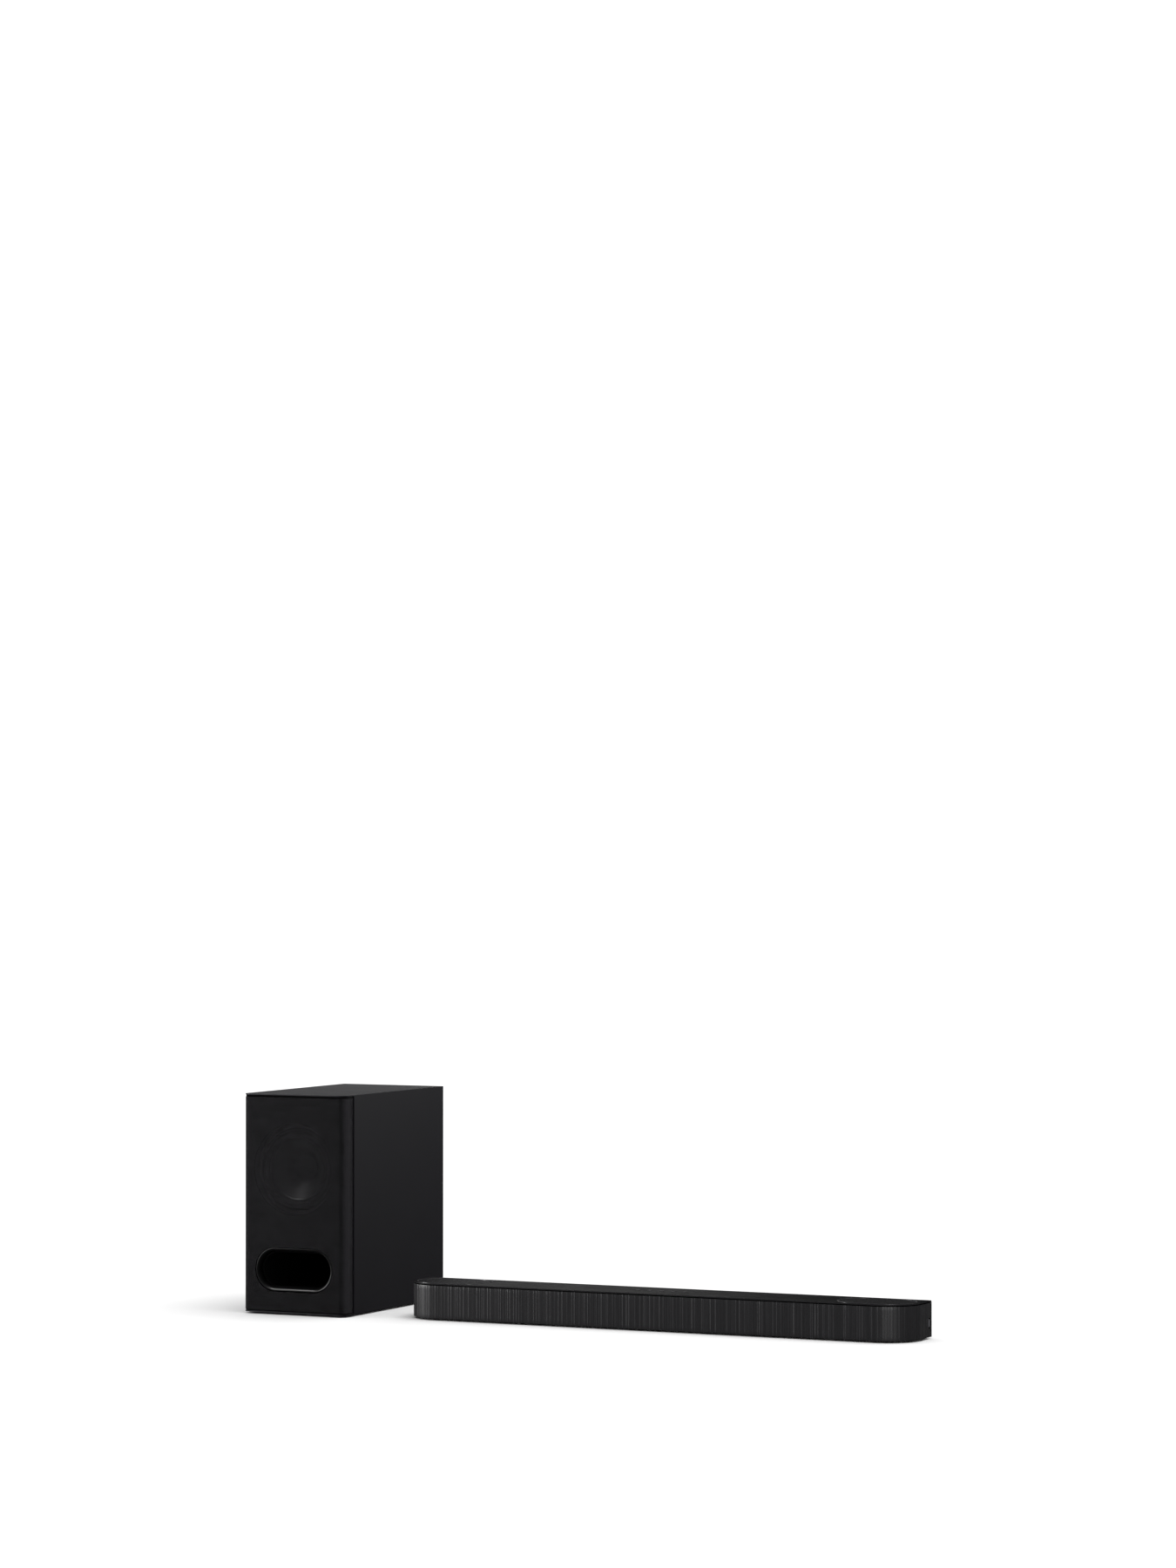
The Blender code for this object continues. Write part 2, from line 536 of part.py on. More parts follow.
# woven sleeve
cloth = slab([wrap(SHALF, SUB_R, 0.0, 0.8, 27.8, 6)], 7.4, 382.0, SUB, "sub_grille_fabric", WEAVE)
cut(cloth, port_window)

# port: flared ring and duct
dish(
    [(PORT_H / 2, 0.4), (PORT_H / 2 - 2.4, 0.9), (PORT_H / 2 - 5.2, 3.2), (PORT_H / 2 - 7.2, 8.0), (PORT_H / 2 - 7.6, 13.0)],
    PORT_W - PORT_H, 24, 1.6, SUB + Vector((0, 1.0, PORT_Z)), "port_ring", DARK, False,
)
duct = wall([stadium(0, PORT_Z, 32.2, 77.0, 8), stadium(0, PORT_Z, 29.7, 77.0, 8)], 15.4, 225.0, SUB, "port_duct", DARK)

# woofer
W_AT = SUB + Vector((0, 20.0, WOOFER_Z))
basket = dish([(80.0, -1.3), (68.5, -1.3), (67.0, 4.0), (46.5, 52.0), (37.5, 52.0)], 0.0, 24, 1.8, W_AT, "woofer_basket", STEEL, False)
openings = boxes([(-9.0, 9.0, 34.0, 62.0, WOOFER_Z - 90.0, WOOFER_Z + 90.0)], SUB, "basket_window_a", helper=True)
for k in range(1, 3):
    other = boxes([(-9.0, 9.0, 34.0, 62.0, WOOFER_Z - 90.0, WOOFER_Z + 90.0)], SUB, f"basket_window_{k}", helper=True)
    other.rotation_euler = (0.0, k * math.pi / 3, 0.0)
    cut(basket, other)
cut(basket, openings)

turned(
    [(0, 14.0), (17.2, 14.0), (17.2, -12.0), (20.9, -12.0), (20.9, 14.0), (36.0, 14.0), (36.0, 8.0), (45.0, 8.0), (45.0, -12.0), (40.0, -18.0), (0, -18.0)],
    SUB + Vector((0, 87.3, WOOFER_Z)), "woofer_magnet", FERRITE, 24, "Y",
)
dish([(73.0, -3.1), (67.2, -3.1), (64.0, -8.0), (60.0, -8.0), (56.8, -3.1), (53.6, -3.1)], 0.0, 24, 1.2, W_AT, "woofer_surround", RUBBER, False)
dish([(57.0, -1.7), (53.5, -1.4), (42.0, 11.4), (30.0, 23.0), (20.2, 29.6)], 0.0, 24, 0.9, W_AT, "woofer_cone", PAPER, False)
dish([(22.6, 26.0), (16.0, 28.4), (8.0, 30.0)], 0.0, 24, 0.8, W_AT, "woofer_dust_cap", PAPER, True)
turned(
    [(18.6, 19.0), (19.7, 19.0), (19.7, -19.0), (18.6, -19.0)],
    SUB + Vector((0, 69.3, WOOFER_Z)), "voice_coil", COPPER, 24, "Y",
)
dish([(41.6, 41.0), (38.0, 38.6), (34.0, 43.0), (29.0, 38.6), (22.6, 41.0)], 0.0, 24, 0.7, W_AT, "woofer_spider", CLOTH, False)

# rear plate, amplifier board, inlet, two buttons and four screws
plate = wall([rect(*PLATE)], SUB_D - 4.0, SUB_D - 2.4, SUB, "sub_rear_plate", SATIN)
INLET_Z, KNOB_Z = 118.0, 262.0
cut(
    plate,
    wall([rect(-12.8, 12.8, INLET_Z - 8.8, INLET_Z + 8.8)], SUB_D - 8, SUB_D + 5, SUB, "inlet_hole", helper=True),
    rods([(6.0, 20.0, (-18.0, SUB_D - 2, KNOB_Z)), (4.0, 20.0, (18.0, SUB_D - 2, KNOB_Z))], SUB, "Y", 14, "rear_button_holes", helper=True),
    rods([(2.0, 20.0, (x, SUB_D - 2, z)) for x, z in SCREWS], SUB, "Y", 8, "plate_screw_holes", helper=True),
)
join(plate, rods([(2.5, 13.0, (x, SUB_D - 9.2, z)) for x in (-44.0, 44.0) for z in (140.0, 284.0)], SUB, "Y", 8, "plate_pillars", helper=True))
amp = boxes([(-50.0, 50.0, SUB_D - 18.0, SUB_D - 16.2, 134.0, 290.0)], SUB, "sub_amplifier_board", BOARD)
join(
    amp,
    boxes([(-40.0, -8.0, SUB_D - 46.0, SUB_D - 17.6, 150.0, 184.0), (6.0, 40.0, SUB_D - 26.0, SUB_D - 17.6, 150.0, 180.0), (-42.0, -18.0, SUB_D - 24.0, SUB_D - 17.6, 200.0, 226.0), (-21.0, -15.0, SUB_D - 16.6, SUB_D - 11.4, KNOB_Z - 3, KNOB_Z + 3), (15.0, 21.0, SUB_D - 16.6, SUB_D - 11.4, KNOB_Z - 3, KNOB_Z + 3)], SUB, "amp_blocks", helper=True),
    rods([(10.0, 26.0, (14.0, SUB_D - 30.0, 206.0)), (8.0, 20.0, (36.0, SUB_D - 27.0, 214.0))], SUB, "Y", 10, "amp_capacitors", helper=True),
)
mains_inlet(SUB, 0.0, INLET_Z, SUB_D - 22.0, SUB_D - 0.6, "sub_mains_inlet")
for name, x, r in (("sub_power_button", -18.0, 5.6), ("sub_link_button", 18.0, 3.6)):
    turned(
        [(0, 0.6), (r - 0.5, 0.6), (r, 0.1), (r, -3.4), (r + 1.6, -3.4), (r + 1.6, -4.6), (1.8, -4.6), (1.8, -9.6), (0, -9.6)],
        SUB + Vector((x, SUB_D - 0.9, KNOB_Z)), name, DARK, 14, "-Y",
    )
for k, (x, z) in enumerate(SCREWS, 1):
    turned(
        [(0, 1.8), (2.2, 1.5), (3.3, 0.7), (3.3, 0.0), (1.3, 0.0), (1.3, -8.0), (0.4, -9.6), (0, -9.6)],
        SUB + Vector((x, SUB_D - 2.1, z)), f"rear_plate_screw_{k}", STEEL, 10, "-Y",
    )

# feet
for name, x, y in (("front_left", -78.0, 52.0), ("front_right", 78.0, 52.0), ("back_left", -78.0, 338.0), ("back_right", 78.0, 338.0)):
    turned([(0, FOOT_H), (13.0, FOOT_H), (13.0, 0.8), (12.2, 0.0), (0, 0.0)], SUB + Vector((x, y, 0)), f"sub_foot_{name}", RUBBER, 16)

for obj in parts.objects:
    if obj.type == "MESH":
        obj.data.shade_smooth()
        if obj.data.polygons:
            obj.data.set_sharp_from_angle(angle=math.radians(35))
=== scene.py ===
import json
import math
import random

import bmesh
import bpy
from mathutils import Matrix, Vector

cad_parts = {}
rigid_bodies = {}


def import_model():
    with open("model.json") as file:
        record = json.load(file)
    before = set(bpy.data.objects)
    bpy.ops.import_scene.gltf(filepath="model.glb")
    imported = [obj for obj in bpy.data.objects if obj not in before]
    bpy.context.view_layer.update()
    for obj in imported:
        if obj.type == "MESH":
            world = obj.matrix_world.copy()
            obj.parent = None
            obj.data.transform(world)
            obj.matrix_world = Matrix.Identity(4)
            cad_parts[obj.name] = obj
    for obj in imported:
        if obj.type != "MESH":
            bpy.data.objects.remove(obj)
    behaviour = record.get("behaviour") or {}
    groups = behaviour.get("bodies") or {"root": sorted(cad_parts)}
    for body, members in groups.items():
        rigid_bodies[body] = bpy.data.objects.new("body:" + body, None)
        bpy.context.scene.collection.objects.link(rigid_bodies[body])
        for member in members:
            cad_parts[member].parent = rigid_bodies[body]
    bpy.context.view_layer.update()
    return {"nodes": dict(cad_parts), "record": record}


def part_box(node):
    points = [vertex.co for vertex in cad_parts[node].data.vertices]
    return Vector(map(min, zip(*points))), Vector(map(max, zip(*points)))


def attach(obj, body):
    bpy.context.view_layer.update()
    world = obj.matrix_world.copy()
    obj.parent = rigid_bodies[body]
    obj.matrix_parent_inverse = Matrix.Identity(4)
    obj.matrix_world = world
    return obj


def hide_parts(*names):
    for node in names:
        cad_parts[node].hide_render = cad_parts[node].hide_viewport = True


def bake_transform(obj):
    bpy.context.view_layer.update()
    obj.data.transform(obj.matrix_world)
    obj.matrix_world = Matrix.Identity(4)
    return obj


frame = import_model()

MM = 0.001
D = bpy.data
scene = bpy.context.scene
nodes = frame["nodes"]
body_of_node = {n: b for b, ns in frame["record"]["behaviour"]["bodies"].items() for n in ns}

# ---- places taken from the frame ------------------------------------------------
lo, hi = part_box("bar_grille_fabric")
BX, BY = (lo.x + hi.x) / 2 / MM, lo.y / MM
HALF = (hi.x - lo.x) / 2 / MM
FAB_Z0, FAB_Z1, FAB_YEND = lo.z / MM, hi.z / MM, (hi.y - lo.y) / MM
lo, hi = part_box("bar_top_panel")
TOP_Z0, TOP_Z1 = 62.2, hi.z / MM
lo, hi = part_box("sub_cabinet")
SX, SY = (lo.x + hi.x) / 2 / MM, lo.y / MM
SHALF, SUB_D, SUB_H = (hi.x - lo.x) / 2 / MM, (hi.y - lo.y) / MM, hi.z / MM
lo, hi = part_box("port_ring")
PORT_Z = (lo.z + hi.z) / 2 / MM
lo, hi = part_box("woofer_basket")
WOOFER_Z = (lo.z + hi.z) / 2 / MM
BAR_R, SUB_R = 62.0, 14.5
OVAL_X, OVAL_Y, OVAL_R, OVAL_S = HALF - 77.5, 55.0, 48.0, 43.0
lo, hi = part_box("sub_grille_fabric")
CZ0, CZ1, CYE = lo.z / MM, hi.z / MM, (hi.y - lo.y) / MM
CLOTH_W = 2 * ((CYE - SUB_R) + math.pi / 2 * SUB_R + (SHALF - SUB_R)) * MM


# ---- node helpers -----------------------------------------------------------------
class Mat:
    """A small builder for procedural materials."""

    def __init__(self, name):
        self.m = D.materials.new(name)
        self.m.use_nodes = True
        self.nt = self.m.node_tree
        self.bsdf = self.nt.nodes["Principled BSDF"]
        self.out = self.nt.nodes["Material Output"]

    def node(self, kind, **values):
        n = self.nt.nodes.new(kind)
        for k, v in values.items():
            setattr(n, k, v)
        return n

    def link(self, a, b):
        self.nt.links.new(a, b)

    def math(self, op, a, b=None, c=None, clamp=False):
        n = self.node("ShaderNodeMath", operation=op, use_clamp=clamp)
        for i, v in enumerate((a, b, c)):
            if v is None:
                continue
            if isinstance(v, (int, float)):
                n.inputs[i].default_value = v
            else:
                self.link(v, n.inputs[i])
        return n.outputs[0]

    def object_coords(self):
        return self.node("ShaderNodeTexCoord").outputs["Object"]

    def uv(self, name="cloth"):
        n = self.node("ShaderNodeUVMap")
        n.uv_map = name
        return n.outputs[0]

    def scaled(self, vector, scale):
        n = self.node("ShaderNodeMapping")
        n.inputs["Scale"].default_value = scale
        self.link(vector, n.inputs["Vector"])
        return n.outputs[0]

    def noise(self, vector, scale, detail=2.0, rough=0.5):
        n = self.node("ShaderNodeTexNoise")
        n.inputs["Scale"].default_value = scale
        n.inputs["Detail"].default_value = detail
        n.inputs["Roughness"].default_value = rough
        self.link(vector, n.inputs["Vector"])
        return n.outputs["Fac"]

    def ramp(self, value, lo, hi, a=0.0, b=1.0, smooth=True):
        n = self.node("ShaderNodeMapRange")
        n.interpolation_type = "SMOOTHSTEP" if smooth else "LINEAR"
        self.link(value, n.inputs["Value"])
        for k, v in (("From Min", lo), ("From Max", hi), ("To Min", a), ("To Max", b)):
            n.inputs[k].default_value = v
        return n.outputs[0]

    def mix(self, fac, a, b):
        n = self.node("ShaderNodeMix", data_type="RGBA")
        for socket, v in ((n.inputs[0], fac), (n.inputs[6], a), (n.inputs[7], b)):
            if isinstance(v, (int, float)):
                socket.default_value = v
            elif isinstance(v, tuple):
                socket.default_value = (*v, 1.0)
            else:
                self.link(v, socket)
        return n.outputs[2]

    def bump(self, height, distance, strength=1.0, normal=None):
        n = self.node("ShaderNodeBump")
        n.inputs["Strength"].default_value = strength
        n.inputs["Distance"].default_value = distance
        self.link(height, n.inputs["Height"])
        if normal is not None:
            self.link(normal, n.inputs["Normal"])
        return n.outputs[0]

    def set(self, **values):
        for k, v in values.items():
            s = self.bsdf.inputs[k.replace("_", " ")]
            if isinstance(v, (int, float)):
                s.default_value = v
            elif isinstance(v, tuple):
                s.default_value = (*v, 1.0) if len(v) == 3 else v
            else:
                self.link(v, s)
        return self


def grey(v):
    """A grey with the faint violet cast of the black finish."""
    return (v, v * 0.965, v * 1.08)


def satin(name, colour, rough, grain=900.0, depth=0.00003, spec=0.35, vary=0.12, metallic=0.0, coat=0.0):
    """Moulded or wrapped surface: fine grain, slight colour and gloss variation."""
    k = Mat(name)
    p = k.object_coords()
    fine = k.noise(p, grain, 3.0, 0.6)
    broad = k.noise(p, 14.0, 3.0, 0.55)
    dark = tuple(c * (1 - vary) for c in colour)
    light = tuple(c * (1 + vary) for c in colour)
    k.set(Base_Color=k.mix(k.ramp(broad, 0.3, 0.7), dark, light))
    mixed = k.math("MULTIPLY_ADD", fine, 0.10, k.ramp(broad, 0.3, 0.7, rough - 0.6 * vary, rough))
    k.set(Roughness=mixed, Metallic=metallic)
    k.set(Normal=k.bump(fine, depth, 0.8))
    if isinstance(spec, tuple):
        # sheen that grows with the distance from an axis along Y: (x, z, inner radius, outer radius, inner value, outer value)
        x, z, r0, r1, inner, outer = spec
        sep = k.node("ShaderNodeSeparateXYZ")
        k.link(p, sep.inputs[0])
        dx, dz = k.math("SUBTRACT", sep.outputs[0], x), k.math("SUBTRACT", sep.outputs[2], z)
        r = k.math("SQRT", k.math("ADD", k.math("MULTIPLY", dx, dx), k.math("MULTIPLY", dz, dz)))
        k.link(k.ramp(r, r0, r1, inner, outer), k.bsdf.inputs["Specular IOR Level"])
    else:
        k.bsdf.inputs["Specular IOR Level"].default_value = spec
    k.bsdf.inputs["Coat Weight"].default_value = coat
    return k.m


def brushed(name, colour, rough, axis=0):
    k = Mat(name)
    scale = [1400.0, 1400.0, 1400.0]
    scale[axis] = 40.0
    fine = k.noise(k.scaled(k.object_coords(), tuple(scale)), 1.0, 2.0, 0.6)
    broad = k.noise(k.object_coords(), 60.0, 3.0)
    k.set(Base_Color=k.mix(k.ramp(fine, 0.3, 0.7), tuple(c * 0.85 for c in colour), tuple(min(1.0, c * 1.1) for c in colour)))
    k.set(Roughness=k.math("MULTIPLY_ADD", broad, 0.2, rough - 0.1), Metallic=1.0)
    k.set(Normal=k.bump(fine, 0.00001, 0.5))
    return k.m


def perforated(name, colour, pitch=2.4, hole=0.62):
    """A plate with a hexagonal pattern of small round holes, as colour and depth: the holes are painted near-black as
    painted shade, for the dark inside seen through them.
    """
    k = Mat(name)
    p = k.object_coords()
    sep = k.node("ShaderNodeSeparateXYZ")
    k.link(p, sep.inputs[0])
    r3 = math.sqrt(3.0)

    def cell(shift):
        x = k.math("MULTIPLY_ADD", sep.outputs[0], 1000.0 / pitch, shift)
        y = k.math("MULTIPLY_ADD", sep.outputs[1], 1000.0 / (pitch * r3), shift)
        fx = k.math("SUBTRACT", k.math("FRACT", x), 0.5)
        fy = k.math("MULTIPLY", k.math("SUBTRACT", k.math("FRACT", y), 0.5), r3)
        return k.math("SQRT", k.math("ADD", k.math("MULTIPLY", fx, fx), k.math("MULTIPLY", fy, fy)))

    d = k.math("MINIMUM", cell(0.0), cell(0.5))
    solid = k.ramp(d, hole / 2 - 0.05, hole / 2 + 0.05)
    broad = k.noise(p, 30.0, 2.0)
    face = k.mix(broad, tuple(c * 0.88 for c in colour), tuple(c * 1.12 for c in colour))
    # painted shade: the holes are near-black, standing for the dark inside and the shade seen through them
    k.set(Base_Color=k.mix(solid, grey(0.003), face))
    k.set(Roughness=k.ramp(solid, 0.0, 1.0, 0.9, 0.5))
    k.set(Normal=k.bump(solid, 0.0003, 0.7))
    k.bsdf.inputs["Specular IOR Level"].default_value = 0.3
    return k.m


def knit(name, low, high):
    """Ribbed knit: the ribs are in the mesh, with their height in the attribute rib. The node tree adds stitches,
    uneven columns, and painted highlight that makes the raised ribs lighter.
    """
    k = Mat(name)
    uv = k.uv()
    sep = k.node("ShaderNodeSeparateXYZ")
    k.link(uv, sep.inputs[0])
    u, v = sep.outputs[0], sep.outputs[1]
    a = k.node("ShaderNodeAttribute")
    a.attribute_name = "rib"
    rib = a.outputs["Fac"]
    fade = k.noise(k.scaled(uv, (180.0, 16.0, 1.0)), 1.0, 3.0, 0.6)
    broad = k.noise(k.scaled(uv, (120.0, 2.0, 1.0)), 1.0, 2.0, 0.5)
    column = k.noise(k.scaled(uv, (420.0, 5.0, 1.0)), 1.0, 2.0, 0.6)
    fine = k.noise(k.scaled(uv, (1100.0, 22.0, 1.0)), 1.0, 2.0, 0.7)
    # stitches: small V-shaped loops, 1.3 mm wide and 0.9 mm high
    wale = k.math("SINE", k.math("MULTIPLY", u, 2 * math.pi / 0.0013))
    lean = k.math("MULTIPLY_ADD", k.math("ABSOLUTE", wale), 0.00045, v)
    course = k.math("SINE", k.math("MULTIPLY", lean, 2 * math.pi / 0.0009))
    stitch = k.math("MULTIPLY_ADD", wale, 0.3, k.math("MULTIPLY_ADD", course, 0.2, 0.5))
    # painted highlight: the raised ribs are painted lighter, as where they catch the light, in patches set by the fade
    # noise
    lift = k.math("MULTIPLY", k.ramp(rib, 0.15, 0.9), k.ramp(fade, 0.30, 0.62, 0.55, 1.0))
    lift = k.math("MULTIPLY_ADD", k.math("SUBTRACT", broad, 0.5), 0.35, lift)
    lift = k.math("MULTIPLY_ADD", k.math("SUBTRACT", column, 0.5), 1.1, lift)
    lift = k.math("MULTIPLY_ADD", k.math("SUBTRACT", fine, 0.5), 0.9, lift)
    lift = k.math("MULTIPLY_ADD", k.math("SUBTRACT", stitch, 0.5), 0.3, lift)
    lift = k.math("ADD", lift, 0.22, clamp=True)
    k.set(Base_Color=k.mix(lift, low, high), Roughness=k.ramp(stitch, 0.0, 1.0, 0.42, 0.34))
    k.set(Normal=k.bump(k.math("MULTIPLY_ADD", column, 1.5, stitch), 0.00008, 0.6))
    k.bsdf.inputs["Specular IOR Level"].default_value = 0.40
    k.bsdf.inputs["Sheen Weight"].default_value = 0.05
    k.bsdf.inputs["Sheen Roughness"].default_value = 0.35
    return k.m


def weave(name, low, high, turn, pitch=1.75, clear=0.40):
    """Open plain weave with uneven weft rows, see-through between the yarns. turn is where the cloth turns the corner,
    as (start, end) in metres from either side edge: there it is drawn taut over its carrier and looks denser, and its
    colour is painted lighter as painted highlight where the light falls on the turned corner.
    """
    k = Mat(name)
    uv = k.uv()
    sep = k.node("ShaderNodeSeparateXYZ")
    k.link(uv, sep.inputs[0])
    u, v = sep.outputs[0], sep.outputs[1]
    wave_u = k.math("SINE", k.math("MULTIPLY", u, 1000 * math.pi / pitch))
    wave_v = k.math("SINE", k.math("MULTIPLY", v, 1000 * math.pi / pitch))
    dots = k.math("MULTIPLY_ADD", k.math("MULTIPLY", wave_u, wave_v), 0.5, 0.5)
    # weft rows about 5 mm apart that break up into short dark dashes
    rows = k.ramp(k.math("SINE", k.math("MULTIPLY", v, 2000 * math.pi / 4.9)), 0.30, 0.90)
    broken = k.ramp(k.noise(k.scaled(uv, (55.0, 204.0, 1.0)), 1.0, 1.0, 0.5), 0.44, 0.58)
    dash = k.math("MULTIPLY", rows, broken)
    long_ = k.noise(k.scaled(uv, (14.0, 210.0, 1.0)), 1.0, 1.0, 0.5)
    side = k.math("MINIMUM", u, k.math("SUBTRACT", turn[2], u))
    # the turned corner: denser cloth, and painted highlight where the light falls on it
    tight_and_lit = k.math("MULTIPLY", k.ramp(side, turn[0] - 0.012, turn[0], 0.55, 1.0), k.ramp(side, turn[1], turn[1] + 0.009, 1.0, 0.0))
    # the dots show most towards the left, where the light rakes the yarns
    shown = k.ramp(u, 0.0, turn[2], 1.0, 0.35)
    tone = k.math("MULTIPLY_ADD", k.math("MULTIPLY", k.math("SUBTRACT", dots, 0.5), shown), 0.7, 0.5)
    tone = k.math("MULTIPLY_ADD", dash, -0.5, tone)
    tone = k.math("MULTIPLY_ADD", k.math("SUBTRACT", long_, 0.5), 0.6, tone)
    tone = k.math("ADD", tone, 0.10, clamp=True)
    base = k.mix(tone, low, high)
    # painted highlight: on the turned corner the colour is brightened towards three times the light yarn colour
    base = k.mix(k.math("MULTIPLY", tight_and_lit, 0.7), base, k.mix(dots, low, tuple(c * 3.0 for c in high)))
    k.set(Base_Color=base, Roughness=0.8)
    k.set(Normal=k.bump(dots, 0.00005, 0.7))
    k.bsdf.inputs["Specular IOR Level"].default_value = 0.06
    k.bsdf.inputs["Sheen Weight"].default_value = 0.0
    k.bsdf.inputs["Sheen Roughness"].default_value = 0.4
    # between the yarns
    open_ = k.math("MULTIPLY", k.math("SUBTRACT", 1.0, k.math("MULTIPLY", tight_and_lit, 0.8)), clear)
    see = k.node("ShaderNodeBsdfTransparent")
    mixer = k.node("ShaderNodeMixShader")
    k.link(open_, mixer.inputs[0])
    k.link(k.bsdf.outputs[0], mixer.inputs[1])
    k.link(see.outputs[0], mixer.inputs[2])
    k.link(mixer.outputs[0], k.out.inputs["Surface"])
    return k.m


M = {
    "top": satin("bar_top_satin", grey(0.009), 0.50, 1500, 0.00002, 0.15),
    "rear": satin("bar_rear_plastic", grey(0.016), 0.55, 700, 0.00006, 0.30),
    "cabinet": satin("sub_cabinet_wrap", (0.0048, 0.0043, 0.0070), 0.50, 1800, 0.00002, 0.25, vary=0.03),
    "dark": satin("black_plastic", grey(0.003), 0.75, 900, 0.00004, 0.08),
    "gloss": satin("port_gloss", grey(0.0012), 0.30, 500, 0.000005, 0.32),
    "button": satin("button_plastic", grey(0.018), 0.45, 1600, 0.00002, 0.35),
    "rubber": satin("rubber", grey(0.014), 0.85, 1200, 0.00008, 0.2),
    "cap": satin("cap_rubber", grey(0.05), 0.7, 1200, 0.00005, 0.3),
    "paper": satin("cone_paper", grey(0.006), 0.36, 600, 0.00003, (SX * MM, WOOFER_Z * MM, 0.022, 0.042, 0.08, 0.95)),
    "dome": satin("dust_cap_paper", grey(0.006), 0.8, 600, 0.00003, 0.05),
    "rim": satin("oval_rim", grey(0.030), 0.30, 1500, 0.00001, 0.6),
    "roll": satin("surround_rubber", grey(0.003), 0.5, 800, 0.00003, 0.10),
    "board": satin("board_green", (0.012, 0.075, 0.030), 0.4, 500, 0.00003, 0.5),
    "fibre": satin("baffle_board", (0.012, 0.011, 0.010), 0.9, 400, 0.00015, 0.05),
    "spider": satin("spider_cloth", (0.40, 0.26, 0.10), 0.9, 900, 0.0001, 0.2),
    "ferrite": satin("ferrite", grey(0.045), 0.6, 500, 0.00008, 0.5, metallic=0.3),
    "steel": brushed("plated_steel", (0.42, 0.42, 0.43), 0.38),
    "alu": brushed("heat_sink_aluminium", (0.62, 0.62, 0.64), 0.42, axis=1),
    "copper": brushed("copper_winding", (0.72, 0.34, 0.19), 0.35),
    "mesh": perforated("oval_mesh", grey(0.020)),
    "knit": knit("bar_knit", grey(0.0070), grey(0.0165)),
    "weave": weave("sub_weave", grey(0.0002), grey(0.0134), (0.014, 0.0225, CLOTH_W)),
    "mark": satin("mark_paint", grey(0.22), 0.6, 600, 0.00001, 0.3),
}
SLOT_MAT = {
    "satin_black_plastic": "rear", "cabinet_black": "cabinet", "bar_knit": "knit", "sub_weave": "weave",
    "black_plastic": "dark", "gloss_black_plastic": "gloss", "rubber": "rubber", "cone_paper": "paper",
    "stamped_steel": "steel", "ferrite": "ferrite", "copper": "copper", "aluminium": "alu",
    "circuit_board": "board", "spider_cloth": "spider", "baffle_board": "fibre",
}
slot_of = {s["node"]: s["material_slot"] for s in frame["record"]["subparts"]}


# ---- mesh helpers -----------------------------------------------------------------
def piece(name, verts, faces, mat, body, uvs=None, rib=None, angle=35.0):
    """A new piece from points in mm of the row frame, riding on a body."""
    me = D.meshes.new(name)
    me.from_pydata([(x * MM, y * MM, z * MM) for x, y, z in verts], [], faces)
    if uvs is not None:
        layer = me.uv_layers.new(name="cloth")
        flat = [0.0] * (2 * len(me.loops))
        for i, loop in enumerate(me.loops):
            flat[2 * i], flat[2 * i + 1] = uvs[loop.vertex_index]
        layer.data.foreach_set("uv", flat)
    if rib is not None:
        me.attributes.new("rib", "FLOAT", "POINT").data.foreach_set("value", rib)
    bm = bmesh.new()
    bm.from_mesh(me)
    bmesh.ops.recalc_face_normals(bm, faces=bm.faces)
    bm.to_mesh(me)
    bm.free()
    me.shade_smooth()
    me.set_sharp_from_angle(angle=math.radians(angle))
    me.materials.append(mat)
    o = D.objects.new(name, me)
    scene.collection.objects.link(o)
    if body is not None:
        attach(o, body)
    return o


def wrap_path(half_w, r, y_end, step, arc_step=None):
    """Points (x, y, nx, ny, s) round the front, from the right end's back edge to the left end's, in mm. n points outwards."""
    arc_step = arc_step or step
    segs = []
    n = max(1, round((y_end - r) / step))
    segs += [(half_w, y_end + (r - y_end) * i / n, 1.0, 0.0) for i in range(n)]
    n = max(6, round(math.pi / 2 * r / arc_step))
    for i in range(n):
        a = -math.pi / 2 * i / n
        segs.append((half_w - r + r * math.cos(a), r + r * math.sin(a), math.cos(a), math.sin(a)))
    n = max(2, round((half_w - r) / step))
    segs += [((half_w - r) * (1 - i / n), 0.0, 0.0, -1.0) for i in range(n + 1)]
    mirrored = [(-x, y, -nx, ny) for x, y, nx, ny in reversed(segs[:-1])]
    path, s = [], 0.0
    previous = None
    for x, y, nx, ny in segs + mirrored:
        if previous:
            s += math.hypot(x - previous[0], y - previous[1])
        previous = (x, y)
        path.append((x, y, nx, ny, s))
    return path


def sweep_open(path, profile, ox, oy, relief=None):
    """Sweeps a closed profile of (z, inset, outer share) along an open path and closes both ends. relief(s, z) lifts the outer side, in mm."""
    verts, uvs, ribs, faces = [], [], [], []
    m = len(profile)
    for x, y, nx, ny, s in path:
        for z, inset, share in profile:
            h = relief(s, z) if relief and share else 0.0
            d = inset - h * share
            verts.append((ox + x - nx * d, oy + y - ny * d, z))
            uvs.append((s * MM, z * MM))
            ribs.append(h * share)
    for i in range(len(path) - 1):
        for j in range(m):
            k = (j + 1) % m
            faces.append((i * m + j, i * m + k, (i + 1) * m + k, (i + 1) * m + j))
    faces.append(tuple(range(m)))
    faces.append(tuple((len(path) - 1) * m + j for j in reversed(range(m))))
    return verts, faces, uvs, ribs


def stadium_points(straight, n):
    """(centre offset, cos, sin) round a stadium whose long side is along the first axis."""
    points = []
    for side in (1, -1):
        for i in range(n + 1):
            a = -math.pi / 2 + math.pi * i / n + (0 if side == 1 else math.pi)
            points.append((side * straight / 2, math.cos(a), math.sin(a)))
    return points


